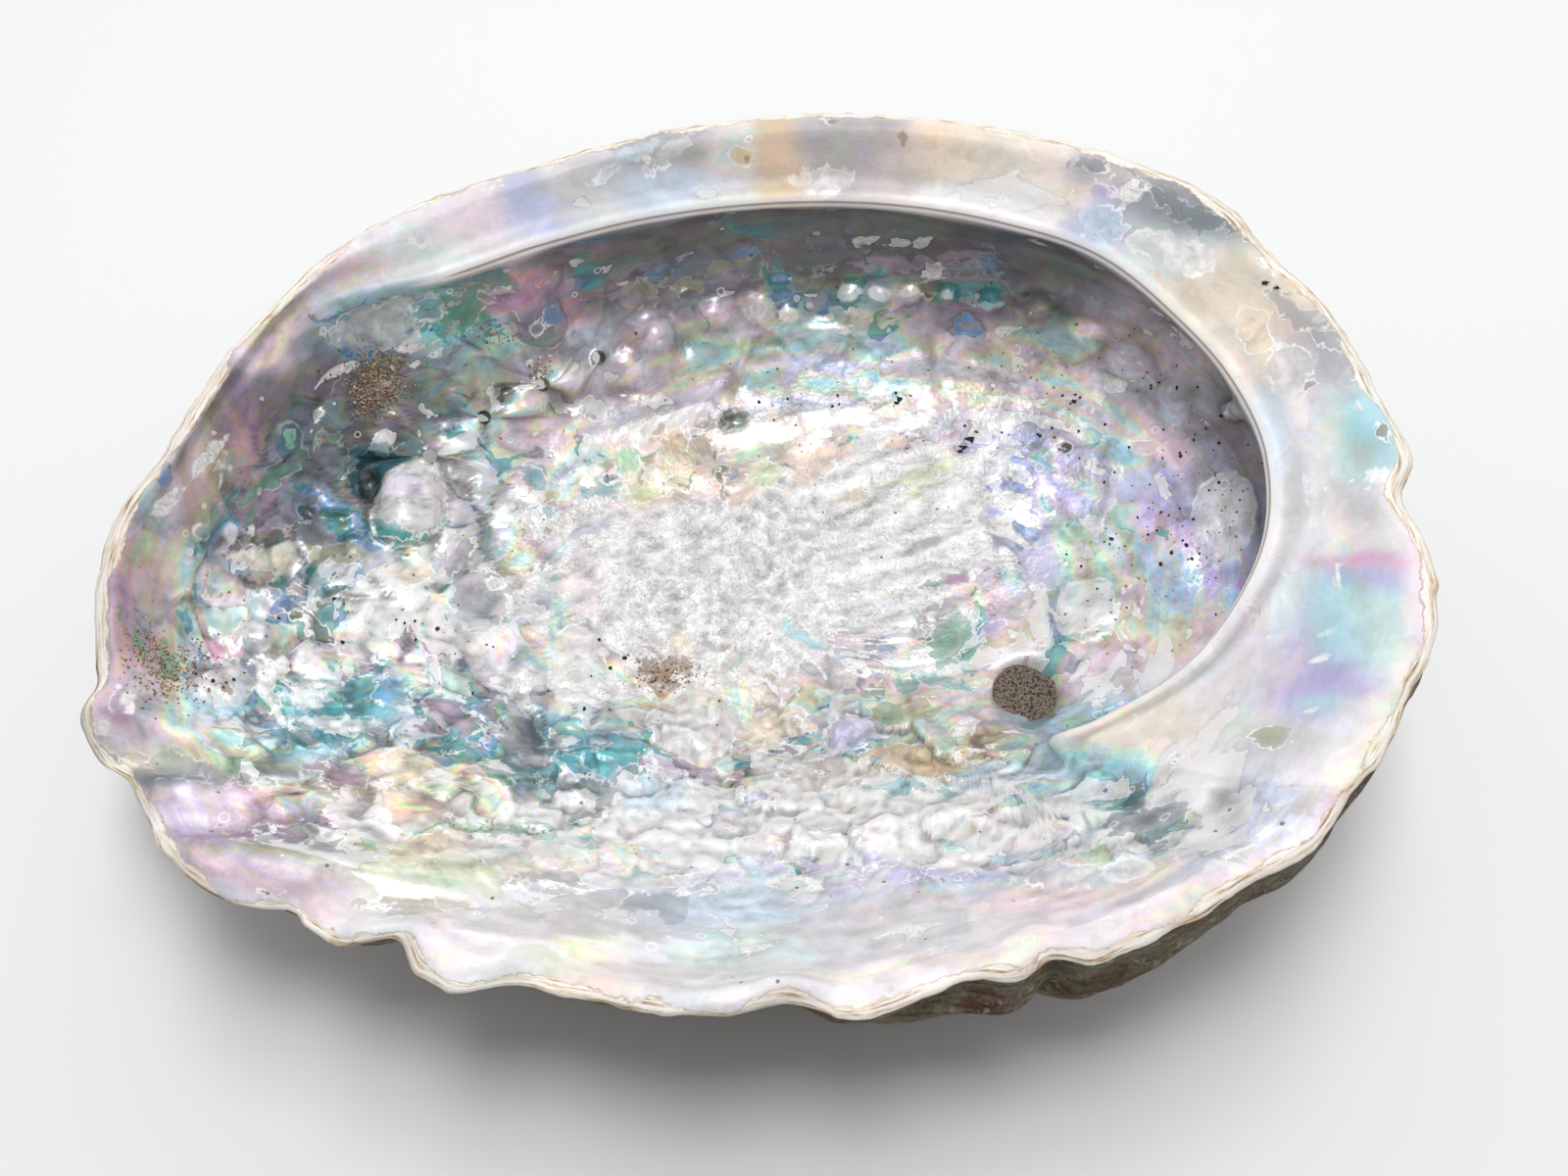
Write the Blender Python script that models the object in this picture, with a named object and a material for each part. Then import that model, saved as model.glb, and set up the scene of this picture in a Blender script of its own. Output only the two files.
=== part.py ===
"""A large abalone shell lying on its back with its mouth up, grown as one piece.

The long axis is X, with the spire at +X. The flat columellar shelf runs along the +Y side and round the spire
end, and the scalloped outer lip faces -Y. The origin is the middle of the worn spot that the back rests on.
Lengths are in millimetres until the mesh is made, and turns are in degrees from +X, seen from above.
"""

import math

import bpy
import numpy as np
from mathutils import Matrix, Vector

MM = 0.001

# Driving dimensions
CELLS = 48  # mesh cells along each side of the grid that covers one face of the shell
HOLLOW_POLE = (0.0, 14.0)  # plan place of the deepest point, which the inside is drawn around
BACK_POLE = (-0.5, -1.0)  # plan place of the crown of the back, which the outside is drawn around
HOLLOW_FLOOR = 7.0  # height of the deepest point of the inside
BACK_DEPTH = -1.8  # how far the crown would bulge below the floor, had it not worn flat
CREST_IN = 3.2  # the lip's rounded edge, from its outermost line to its top
CREST_UP = 1.7
POLE_FLAT = 10.0  # radius that is level round each pole
EVEN_STEPS = 161  # places along a cross-section at which its length is measured
EVEN_TURNS = range(0, 360, 10)  # the cross-sections that are measured

# The shelf's rolled inner edge, as (inward, up) from the edge line
ROLL_TOP = (2.6, 0.5)
ROLL_TIP = (-0.3, -1.1)
ROLL_UNDER = (1.8, -3.4)
SLOPE_EASE = 0.3  # where nothing is rolled, how far those points lie on the way to the slopes above and below

UNDER_EDGE = (0.42, 0.5)  # along a cross-section, from the edge's tip to clear of it below

# The outline of the mouth, (x, y), drawn point by point because the lip is chipped and scalloped
RIM = [
    (90.5, -2.0), (88.5, 5.0), (90.5, 9.5), (88.5, 21.0), (85.0, 31.5), (80.5, 41.5), (75.5, 48.5),
    (71.5, 56.0), (60.5, 64.5), (48.5, 70.0), (35.5, 73.5), (21.0, 76.0), (6.0, 76.5), (-8.5, 75.0),
    (-25.0, 71.0), (-35.0, 67.5), (-46.0, 63.5), (-56.0, 59.0), (-64.5, 53.0), (-73.0, 44.0), (-78.5, 36.0),
    (-83.0, 27.5), (-88.0, 16.5), (-92.5, 9.0), (-94.5, 0.0), (-94.5, -10.0), (-93.5, -17.5), (-94.5, -21.5),
    (-91.5, -27.0), (-87.0, -30.5), (-83.0, -37.0), (-77.5, -44.0), (-72.0, -47.5), (-67.5, -49.5),
    (-62.5, -49.5), (-58.5, -53.0), (-52.5, -56.0), (-46.5, -55.5), (-43.0, -60.0), (-37.5, -62.5),
    (-32.0, -61.5), (-25.5, -63.0), (-17.5, -65.0), (-8.5, -66.5), (-4.0, -66.5), (3.0, -64.5),
    (10.5, -66.5), (15.0, -66.5), (19.5, -65.0), (25.5, -62.5), (32.5, -62.0), (36.0, -59.5),
    (41.0, -60.0), (48.0, -57.5), (55.0, -54.5), (61.5, -50.5), (71.5, -45.0), (75.0, -40.0),
    (81.0, -33.0), (85.0, -25.0), (89.5, -17.0), (90.5, -11.0),
]  # fmt: skip

# (turn, height) of that outline, lowest at the front corner
RIM_HEIGHT = [
    (0, 54), (40, 54), (90, 53.5), (125, 52), (150, 50), (165, 48), (178, 45.5), (190, 41.5), (201, 36),
    (215, 38.5), (235, 42), (252, 45), (270, 46), (290, 47), (305, 48.5), (322, 51), (340, 53.5),
]  # fmt: skip

# Cross-sections of the inside, from the lip down to the floor: the turn, then (radius, height) of the shelf or
# slope, of its inner edge, of the wall below it, of the keel where the breathing holes run and of the floor,
# then how far the edge is a rolled, overhanging one, from 0 to 1
HOLLOW_SECTIONS = [
    (2, (82, 51.5), (72.2, 46.5), (80.5, 35), (77, 21), (45, 10), 1),
    (13, (80, 51.5), (70.3, 47.5), (78.5, 36), (77, 23), (46, 10), 1),
    (24, (76, 51.5), (67, 48), (74.5, 38), (74, 25), (45, 10), 1),
    (37, (72, 51.5), (64, 48), (69, 38), (67, 24), (42, 10), 1),
    (51, (66, 51.5), (58, 48), (63, 37), (61.5, 23), (38, 9.5), 1),
    (71, (59, 51.5), (51.7, 48), (55.5, 37), (53.5, 22.5), (32, 9.5), 1),
    (93, (55.5, 51), (48.6, 48), (52, 37), (49.5, 22.5), (30, 9.5), 1),
    (112, (56.5, 50.5), (49.8, 47.5), (52.5, 36), (49.5, 22.5), (30, 9.5), 1),
    (130, (60, 49.5), (53.5, 47.5), (54.5, 36), (50, 22.5), (30, 9.5), 1),
    (145, (67, 48.5), (61, 46.5), (60, 35), (53, 22.5), (32, 10), 0.8),
    (157, (77, 47.5), (74, 45), (69.5, 34), (58, 22.5), (34, 10.5), 0.35),
    (168, (81, 45.5), (78.5, 42.5), (74.5, 33), (64.5, 23), (36, 11.5), 0.1),
    (180, (86.5, 43), (84, 39), (79.5, 31), (72, 24), (40, 13), 0),
    (192, (92.5, 38.5), (89.5, 34), (84, 28.5), (76, 25), (46, 15.5), 0),
    (204, (92, 37), (86, 34), (78, 29.5), (65, 24.5), (40, 15), 0),
    (225, (82.5, 39), (74, 34.5), (63, 28), (48, 20.5), (30, 12.5), 0),
    (250, (74, 41), (66, 35.5), (56, 28.5), (43, 19.5), (26, 11), 0),
    (270, (73, 41.5), (65, 35.5), (55, 28), (42, 18.5), (25, 10), 0),
    (290, (73.5, 42), (65, 35), (55, 27), (42, 17.5), (25, 9.5), 0),
    (308, (78, 43), (67, 33.5), (55, 23.5), (43, 15.5), (26, 9), 0),
    (319, (80.5, 44), (60, 26), (49, 17), (40, 12.5), (27, 9), 0.1),
    (325, (81.5, 45.5), (51.5, 20), (46.5, 14.5), (41, 12), (28, 9), 0.6),
    (331, (82, 47), (56, 22.5), (56, 16), (48, 12.5), (31, 9), 1),
    (338, (83, 48.5), (64, 31), (68.5, 22), (60, 14.5), (36, 9.5), 1),
    (348, (83, 50.5), (70.2, 41.5), (78.5, 29.5), (71, 17.5), (42, 10), 1),
]  # fmt: skip

# Cross-sections of the outside: the turn, then (share of the way from the crown to the lip, height) of the brow
# under the lip, of the wall, of the shoulder and of the belly
BACK_SECTIONS = [
    (0, (1.0, 49.5), (0.99, 38), (0.9, 22), (0.63, 8)),
    (30, (1.0, 49.5), (0.99, 38), (0.91, 22), (0.63, 7)),
    (60, (1.0, 49.5), (0.99, 37), (0.92, 21), (0.63, 6)),
    (90, (1.0, 49), (0.985, 37), (0.92, 21), (0.63, 5.5)),
    (120, (1.0, 48), (0.975, 36), (0.9, 20), (0.62, 5)),
    (145, (1.0, 46), (0.97, 34), (0.87, 19), (0.58, 6)),
    (165, (1.0, 43.5), (0.965, 32.5), (0.85, 18), (0.56, 6.5)),
    (180, (1.0, 40.5), (0.965, 30), (0.86, 18.5), (0.56, 7.5)),
    (190, (0.99, 37), (0.96, 28), (0.85, 18), (0.56, 8)),
    (200, (0.98, 32.5), (0.935, 25.5), (0.83, 18), (0.54, 8.5)),
    (225, (0.97, 38), (0.89, 29), (0.75, 19), (0.48, 8)),
    (250, (0.97, 41), (0.87, 31.5), (0.71, 20), (0.44, 8)),
    (270, (0.975, 42), (0.88, 32.5), (0.71, 21), (0.43, 8)),
    (288, (0.99, 42.5), (0.96, 33.5), (0.82, 21), (0.52, 6.5)),
    (303, (1.0, 42), (1.02, 33), (0.88, 20.5), (0.55, 7)),
    (318, (0.985, 45), (0.975, 35), (0.88, 21), (0.57, 7.5)),
    (338, (0.99, 49), (0.98, 37), (0.89, 21.5), (0.6, 8)),
]  # fmt: skip

# Folds that run in from the scalloped lip and show on both faces: three plan points of the crest, from the lip
# inward, then the crest's height and its half-width. A groove has a height below zero.
FOLDS = [
    ((-92, -20), (-81, -22), (-68, -29), 3.0, 3.4),
    ((-90, -26), (-78, -28), (-66, -34), -2.6, 3.0),
    ((-84, -31), (-70, -32), (-52, -37), 2.6, 3.6),
    ((-80, -37), (-66, -38), (-50, -41), -2.4, 3.2),
    ((-77, -41), (-59, -42), (-34, -45), 2.4, 3.8),
    ((-64, -49), (-48, -49), (-28, -49), -2.2, 3.2),
    ((-50, -54), (-35, -54), (-14, -52), 2.0, 3.6),
    ((-32, -61), (-20, -59), (-2, -56), -1.5, 3.0),
    ((-10, -66), (4, -62), (24, -58), 1.5, 3.4),
    ((3, -65), (16, -62), (30, -58), -1.2, 2.8),
    ((18, -65), (30, -60), (44, -54), 1.3, 3.2),
]  # fmt: skip
FOLD_STEPS = 28

# What has grown on the inside: the plan place, the height (below zero for a pit), the half-lengths along and
# across, and the turn that its length lies at
LUMPS = [
    ((-57.5, 23.5), 3.2, (5.0, 4.2), 60),  # a hollow-looking blister by the first open hole
    ((-64.0, 28.0), -3.0, (3.4, 3.0), 0),  # the pit beside it
    ((-71.0, 20.5), -1.8, (3.4, 2.8), 20),
    ((-36.5, 52.5), 2.0, (4.0, 3.6), 0),  # a round blister above the open holes
    ((-4.0, 22.0), 1.5, (34.0, 17.0), 22),  # the scar where the muscle held on
    ((41.0, -2.8), -2.6, (4.4, 4.2), 0),  # the round pit near the spire
    ((-76.0, -2.5), 1.6, (5.0, 3.4), 0),
    ((-58.0, -11.5), 1.8, (10.0, 3.4), -12),
    ((-26.0, -17.0), 1.6, (12.0, 3.6), -4),
    ((-68.0, -8.0), -1.4, (9.0, 3.2), -12),
    ((-40.0, -24.0), 1.2, (11.0, 3.6), -8),
    ((14.0, -11.5), 1.3, (5.0, 3.4), 0),
    ((66.5, 19.5), 1.6, (8.0, 4.0), 80),
    ((50.0, -26.0), -1.3, (7.0, 3.6), 20),
    ((20.0, -30.0), 1.1, (16.0, 4.0), 3),
]
KNUCKLE = (1.7, 3.6)  # height and half-width of a grown-shut hole on the inside

# The row of breathing holes along the keel, as plan places on the inside: four are open, the rest grown shut
OPEN_PORES = [(-53.5, 32.5), (-45.5, 40.0), (-36.5, 46.5), (-27.5, 52.0)]
SHUT_PORES = [(-18.0, 57.0), (-7.5, 60.5), (3.5, 62.5), (15.0, 63.5), (27.0, 62.5), (38.5, 60.0), (49.5, 55.5)]
KEEL_HEIGHT = 23.0
PORE_RADIUS = 1.8
PORE_SIDES = 12
PORE_REACH = 22.0  # length of a pore's cutter, well past both faces of the wall
PORE_WAY_OUT = (-0.25, 0.55, -0.8)  # the direction of a pore, outwards
CHIMNEY = (3.0, 5.2)  # height and half-width of the mound round an open pore, on the outside
KNOB = (1.6, 5.2)  # the same for a pore that has grown shut

# The low spire on the back: its apex in plan, then the spiral seam between the coils
APEX = (55.0, -26.0)
COIL_GROWTH = 3.1  # how much wider the seam's radius is after each full turn
SEAM_END = (38.0, -60.0)  # where the seam runs out under the lip
SEAM_FADE = (40.0, 3.5)  # radius at which the coils fade into the back, and over what length
COIL_SWELL = 0.11  # the coils' swell as a share of their distance from the apex
COIL_ROUNDNESS = 0.6  # the power of the sine across a coil: lower is flatter with a deeper seam
APEX_CORE = 0.5  # radius inside which the spiral isn't followed
APEX_MOUND = (4.5, 15.0)  # height and half-width

# Slanting corrugations on the back, over the turns that the outer lip covers
WAVES_ROUND = 17  # how many in a full turn
WAVES_ACROSS = 6  # how many they slant by, from the crown to the lip
WAVE_HEIGHT = 1.3
WAVE_TURNS = (195.0, 318.0)
WAVE_TURN_FADE = 20.0
WAVE_SHARES = (0.3, 0.55)  # shares of the way to the lip between which the waves grow to full height
WAVE_LIP_FADE = 0.08
SWELL_LIP_FADE = 0.06  # share of the way in from the lip over which the coils and mounds grow


def around(turn, knots):
    """Values at each turn of a smooth closed curve through knots of (turn, value, ...)."""
    knots = np.array(sorted(knots), float)
    at = np.concatenate([knots[-2:, 0] - 360, knots[:, 0], knots[:2, 0] + 360])
    value = np.vstack([knots[-2:, 1:], knots[:, 1:], knots[:2, 1:]])
    slope = np.gradient(value, at, axis=0)
    turn = np.mod(turn, 360)
    low = np.clip(np.searchsorted(at, turn, side="right") - 1, 0, len(at) - 2)
    gap = (at[low + 1] - at[low])[:, None]
    t = (turn[:, None] - at[low][:, None]) / gap
    start, end = value[low], value[low + 1]
    bend = t * t * (3 - 2 * t)
    lean = t * (1 - t)
    return start + (end - start) * bend + gap * lean * ((1 - t) * slope[low] - t * slope[low + 1])


def flat_section(section):
    """A cross-section's nested pairs as one row of numbers."""
    row = []
    for item in section:
        row += list(item) if isinstance(item, tuple) else [item]
    return row


def through(controls, along):
    """Points on a cubic B-spline that starts and ends on its end controls, one curve for each row."""
    ends = [controls[:, :1]] * 2 + [controls] + [controls[:, -1:]] * 2
    padded = np.concatenate(ends, axis=1)
    spans = padded.shape[1] - 3
    place = np.clip(along, 0, 1) * spans
    span = np.minimum(place.astype(int), spans - 1)
    t = (place - span)[:, None]
    weights = ((1 - t) ** 3, 3 * t**3 - 6 * t**2 + 4, -3 * t**3 + 3 * t**2 + 3 * t + 1, t**3)
    rows = np.arange(len(span))
    return sum(w * padded[rows, span + i] for i, w in enumerate(weights)) / 6


def polar(points, pole):
    """(turn, radius) of plan points about a pole."""
    away = np.asarray(points, float) - np.asarray(pole)
    return np.degrees(np.arctan2(away[:, 1], away[:, 0])) % 360, np.hypot(away[:, 0], away[:, 1])


def heading(turn):
    """Unit plan vectors at each turn."""
    return np.column_stack([np.cos(np.radians(turn)), np.sin(np.radians(turn))])


def rim_at(turn):
    """(radius, height) of the lip's outermost line at each turn about the hollow's pole."""
    turns, radii = polar(RIM, HOLLOW_POLE)
    radius = around(turn, list(zip(turns, radii)))
    return np.hstack([radius, around(turn, RIM_HEIGHT)])


def shelf_roll(turn):
    """How far the inner edge is a rolled, overhanging one at each turn, from 0 to 1."""
    return np.clip(around(turn, [(s[0], s[-1]) for s in HOLLOW_SECTIONS])[:, 0], 0, 1)


def hollow_controls(turn):
    """Control points (radius, height) of the inside's cross-section at each turn, from the lip to the pole."""
    rim = rim_at(turn)
    crest = rim + (-CREST_IN, CREST_UP)
    values = around(turn, [flat_section(s[:-1]) for s in HOLLOW_SECTIONS])
    shelf, edge, wall, keel, floor = (values[:, i : i + 2] for i in range(0, 10, 2))
    roll = shelf_roll(turn)[:, None]
    top = edge + roll * ROLL_TOP + (1 - roll) * SLOPE_EASE * (shelf - edge)
    tip = edge + roll * ROLL_TIP
    under = edge + roll * ROLL_UNDER + (1 - roll) * SLOPE_EASE * (wall - edge)
    level = np.tile((POLE_FLAT, HOLLOW_FLOOR), (len(turn), 1))
    pole = np.tile((0.0, HOLLOW_FLOOR), (len(turn), 1))
    return np.stack([rim, crest, shelf, top, tip, under, wall, keel, floor, level, pole], axis=1)


def hollow_surface(turn, along):
    """Points of the inside: along runs from 0 on the lip to 1 at the deepest point."""
    drawn = through(hollow_controls(turn), along)
    plan = np.asarray(HOLLOW_POLE) + heading(turn) * drawn[:, :1]
    return np.hstack([plan, drawn[:, 1:]])


def back_surface(turn, along):
    """Points of the outside, on the same turns: along runs from 0 on the lip to 1 at the crown."""
    rim = rim_at(turn)
    rim_plan = np.asarray(HOLLOW_POLE) + heading(turn) * rim[:, :1]
    back_turn, reach = polar(rim_plan, BACK_POLE)
    values = around(back_turn, [flat_section(s) for s in BACK_SECTIONS])
    sections = [values[:, i : i + 2] for i in range(0, 8, 2)]
    start = np.column_stack([np.ones(len(turn)), rim[:, 1]])
    level = np.column_stack([POLE_FLAT / reach, np.full(len(turn), BACK_DEPTH)])
    pole = np.tile((0.0, BACK_DEPTH), (len(turn), 1))
    drawn = through(np.stack([start, *sections, level, pole], axis=1), along)
    plan = np.asarray(BACK_POLE) + (rim_plan - np.asarray(BACK_POLE)) * drawn[:, :1]
    return np.hstack([plan, drawn[:, 1:]])


def evenly(surface, share):
    """The surface's along value for each ring, so that rings from the pole (0) to the lip (1) are evenly apart."""
    along = np.linspace(0, 1, EVEN_STEPS)
    length = np.zeros(len(along))
    for turn in EVEN_TURNS:
        points = surface(np.full(len(along), float(turn)), along)
        length[1:] += np.cumsum(np.linalg.norm(np.diff(points, axis=0), axis=1))
    return np.interp((1 - share) * length[-1], length, along)


def fold_height(plan):
    """How far the folds lift or sink each plan point."""
    lift = np.zeros(len(plan))
    steps = np.linspace(0, 1, FOLD_STEPS)[:, None]
    for start, middle, end, height, width in FOLDS:
        line = (1 - steps) ** 2 * start + 2 * steps * (1 - steps) * middle + steps**2 * end
        gap = np.linalg.norm(plan[:, None] - line[None], axis=2)
        strength = np.cos(np.pi / 2 * steps[:, 0] ** 2)
        lift += height * (strength * np.exp(-((gap / width) ** 2))).max(axis=1)
    return lift


def lump_height(points):
    """How far what has grown on the inside stands up at each point."""
    lift = np.zeros(len(points))
    for middle, height, (length, width), turn in LUMPS:
        away = points[:, :2] - np.asarray(middle)
        along, across = heading(np.array([turn]))[0], heading(np.array([turn + 90]))[0]
        lift += height * np.exp(-((away @ along / length) ** 2) - (away @ across / width) ** 2)
    height, width = KNUCKLE
    for place in SHUT_PORES:
        gap = np.linalg.norm(points - (*place, KEEL_HEIGHT), axis=1)
        lift += height * np.exp(-((gap / width) ** 2))
    return lift


def spire_swell(plan):
    """How far the coils of the spire swell outwards at each plan point of the back."""
    away = plan - np.asarray(APEX)
    radius = np.maximum(np.hypot(away[:, 0], away[:, 1]), APEX_CORE)
    end = np.subtract(SEAM_END, APEX)
    rate = math.log(COIL_GROWTH)
    wound = (np.arctan2(away[:, 1], away[:, 0]) - math.atan2(end[1], end[0])) / (2 * math.pi)
    coil = np.log(radius / math.hypot(*end)) / rate - wound
    across = coil - np.floor(coil)
    swell = COIL_SWELL * radius * (np.sin(np.pi * across) ** COIL_ROUNDNESS - COIL_ROUNDNESS)
    edge, width = SEAM_FADE
    fade = 1 / (1 + np.exp((radius - edge) / width))
    mound_height, mound_width = APEX_MOUND
    return swell * fade + mound_height * np.exp(-((radius / mound_width) ** 2))


def corrugation(turn, share):
    """The slanting waves of the back under the outer lip."""
    phase = WAVES_ROUND * turn / 360 + WAVES_ACROSS * (1 - share)
    low, high = WAVE_TURNS
    side = np.clip((turn - low) / WAVE_TURN_FADE, 0, 1) * np.clip((high - turn) / WAVE_TURN_FADE, 0, 1)
    inner, outer = WAVE_SHARES
    spread = np.clip((share - inner) / (outer - inner), 0, 1) * np.clip((1 - share) / WAVE_LIP_FADE, 0, 1)
    return WAVE_HEIGHT * np.sin(2 * np.pi * phase) * side * spread


def chimney_swell(points):
    """How far the mounds of the pore row stand out at each point of the back."""
    way_out = np.asarray(PORE_WAY_OUT)
    swell = np.zeros(len(points))
    for places, (height, width) in ((OPEN_PORES, CHIMNEY), (SHUT_PORES, KNOB)):
        for place in places:
            away = points - (*place, KEEL_HEIGHT)
            off_axis = np.linalg.norm(away - np.outer(away @ way_out, way_out), axis=1)
            swell = np.maximum(swell, height * np.exp(-((off_axis / width) ** 2)))
    return swell


def disc_grid():
    """A square grid bent into a disc: (turn, share of the way out) of each vertex, and the quads."""
    side = np.linspace(-1, 1, CELLS + 1)
    x, y = (grid.ravel() for grid in np.meshgrid(side, side))
    share = np.maximum(abs(x), abs(y))
    level = abs(x) >= abs(y)
    with np.errstate(divide="ignore", invalid="ignore"):
        turn = np.where(level, 45 * y / x, 90 - 45 * x / y)
    turn = np.nan_to_num(turn + 180 * np.where(level, x < 0, y < 0)) % 360
    corner = (np.arange(CELLS)[:, None] * (CELLS + 1) + np.arange(CELLS)).ravel()
    quads = np.column_stack([corner, corner + 1, corner + CELLS + 2, corner + CELLS + 1])
    return turn, share, quads


def outward_normals(points):
    """Unit normals of a square grid of points, pointing to the side from which the grid runs clockwise."""
    grid = points.reshape(CELLS + 1, CELLS + 1, 3)
    normal = np.cross(np.gradient(grid, axis=0), np.gradient(grid, axis=1)).reshape(-1, 3)
    return normal / np.maximum(np.linalg.norm(normal, axis=1, keepdims=True), 1e-9)


def hollow_points(turn, share):
    """The inside's vertices, folds included."""
    along = evenly(hollow_surface, share)
    points = hollow_surface(turn, along)
    normal = outward_normals(points)
    start, end = UNDER_EDGE
    on_shelf = shelf_roll(turn) * (1 - np.clip((along - start) / (end - start), 0, 1))
    points[:, 2] += fold_height(points[:, :2])
    points -= normal * (lump_height(points) * (1 - on_shelf))[:, None]
    return points


def back_points(turn, share):
    """The outside's vertices, with folds, waves, coils and pore mounds, worn flat at the crown."""
    points = back_surface(turn, evenly(back_surface, share))
    normal = outward_normals(points)
    lift = fold_height(points[:, :2]) * share**2
    off_lip = np.clip((1 - share) / SWELL_LIP_FADE, 0, 1)
    swell = (spire_swell(points[:, :2]) + chimney_swell(points)) * off_lip + corrugation(turn, share)
    points += normal * swell[:, None]
    points[:, 2] = np.maximum(points[:, 2] + lift, 0.0)
    return points


def principled(name, colour, roughness):
    """A plain Principled material."""
    material = bpy.data.materials.new(name)
    material.use_nodes = True
    shader = material.node_tree.nodes["Principled BSDF"]
    shader.inputs["Base Color"].default_value = (*colour, 1)
    shader.inputs["Roughness"].default_value = roughness
    shader.inputs["Metallic"].default_value = 0
    return material


def make_shell():
    """The shell: its inside and its outside are two grids that share the lip's vertices."""
    turn, share, quads = disc_grid()
    inside = hollow_points(turn, share)
    outside = back_points(turn, share)
    on_lip = share >= 1
    outside_index = np.where(on_lip, np.arange(len(share)), len(share) - 1 + np.cumsum(~on_lip))
    points = np.vstack([inside, outside[~on_lip]])
    faces = np.vstack([quads, outside_index[quads][:, ::-1]])
    mesh = bpy.data.meshes.new("shell")
    mesh.from_pydata((points * MM).tolist(), [], faces.tolist())
    mesh.materials.append(principled("nacre", (0.72, 0.70, 0.74), 0.22))
    mesh.materials.append(principled("outer_crust", (0.24, 0.20, 0.16), 0.85))
    mesh.polygons.foreach_set("material_index", np.repeat([0, 1], len(quads)).astype(np.int32))
    mesh.polygons.foreach_set("use_smooth", np.ones(len(faces), bool))
    shell = bpy.data.objects.new("shell", mesh)
    bpy.context.scene.collection.objects.link(shell)
    return shell


def make_pore_cutter(place, number):
    """A hidden rod along a pore, longer than the wall is thick."""
    bpy.ops.mesh.primitive_cylinder_add(vertices=PORE_SIDES, radius=PORE_RADIUS * MM, depth=PORE_REACH * MM)
    cutter = bpy.context.active_object
    cutter.name = f"pore_cutter_{number}"
    turned = Vector(PORE_WAY_OUT).to_track_quat("Z", "Y").to_matrix().to_4x4()
    cutter.matrix_world = Matrix.Translation(Vector((*place, KEEL_HEIGHT)) * MM) @ turned
    cutter.hide_render = True
    cutter.display_type = "WIRE"
    return cutter


def bore_pores(shell):
    """Cuts the open breathing holes through the wall."""
    for number, place in enumerate(OPEN_PORES, 1):
        cut = shell.modifiers.new(f"pore_{number}", "BOOLEAN")
        cut.operation = "DIFFERENCE"
        cut.solver = "EXACT"
        cut.object = make_pore_cutter(place, number)


def main():
    """Clears the scene and makes the shell."""
    for old in list(bpy.data.objects):
        bpy.data.objects.remove(old)
    bore_pores(make_shell())


main()
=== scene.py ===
"""The looks of a large abalone shell that lies on its back with its mouth up.

One closed mesh stands for the shell's solid. It follows the same sections, finer and with its small relief,
and carries the fields that its finishes read: the nacre of the inside and the crust of the back. A plug of
dried sediment, loose sand, dark crumbs and black flakes are small meshes of their own. Form is worked out in
millimetres and degrees. Patches of colour are placed by where the photograph shows them, in pixels of its
1600 by 1200 frame: an ellipse is written as its middle's x and y, its half-width and its half-height.
"""

from __future__ import annotations

import itertools
import logging
import math
from collections.abc import Callable, Sequence
from dataclasses import dataclass, field
from enum import Enum

import bpy
import numpy as np
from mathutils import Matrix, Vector

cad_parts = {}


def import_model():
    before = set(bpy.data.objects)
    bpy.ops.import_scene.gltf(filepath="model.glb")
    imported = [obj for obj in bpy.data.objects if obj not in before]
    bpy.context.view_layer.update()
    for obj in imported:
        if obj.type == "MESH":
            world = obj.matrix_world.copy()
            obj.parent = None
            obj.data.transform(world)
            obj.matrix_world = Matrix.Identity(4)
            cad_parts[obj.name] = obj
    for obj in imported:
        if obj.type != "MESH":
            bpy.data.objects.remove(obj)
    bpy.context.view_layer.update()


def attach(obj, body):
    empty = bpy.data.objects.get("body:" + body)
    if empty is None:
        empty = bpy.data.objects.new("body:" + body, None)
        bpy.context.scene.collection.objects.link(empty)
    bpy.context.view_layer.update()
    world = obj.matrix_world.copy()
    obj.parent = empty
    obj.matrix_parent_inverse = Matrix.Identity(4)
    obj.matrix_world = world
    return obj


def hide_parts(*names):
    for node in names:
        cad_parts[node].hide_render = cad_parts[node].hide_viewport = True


Array = np.ndarray
Socket = bpy.types.NodeSocket
log = logging.getLogger("abalone")

MM = 0.001

# Radius of the ring on which patterns run round the lip
RING = 75.0

# Colours of the real surfaces, as seen in soft white light; dark serves for painted shade, and white also
# for painted highlights
PALETTE = {
    "white": "#F1EFEE",
    "film": "#DFDDDC",
    "pearl": "#CFCCCB",
    "silver": "#BFC0C2",
    "grey": "#96989D",
    "slate": "#646B72",
    # Painted shade: a tone for the far wall under the shelf and for hollows
    "dark": "#42474B",
    "taupe": "#BDB4AE",
    "lilac": "#D2C7DC",
    "lavender": "#C0B8DA",
    "violet": "#A199CC",
    "periwinkle": "#B0BADC",
    "blue": "#5C8FC6",
    "sky": "#BCD0DE",
    "aqua": "#98CDD6",
    "teal": "#3A98A2",
    "deep_teal": "#1D6670",
    "mint": "#BEDACF",
    "green": "#86C2A0",
    "leaf": "#4C8C70",
    "lime": "#D2DCB2",
    "cream": "#E2D8C6",
    "beige": "#DBCBB2",
    "tan": "#CBB28C",
    "gold": "#CFAE68",
    "peach": "#E2C6AF",
    "pink": "#DEBFD0",
    "rose": "#D498BC",
    "magenta": "#B2629F",
    "mauve": "#A58DA0",
    "blush": "#E2D2D8",
    "khaki": "#A39383",
    "olive": "#95966F",
    "brown": "#7A5536",
    "umber": "#453125",
    "ink": "#1B1A1D",
}

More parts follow.
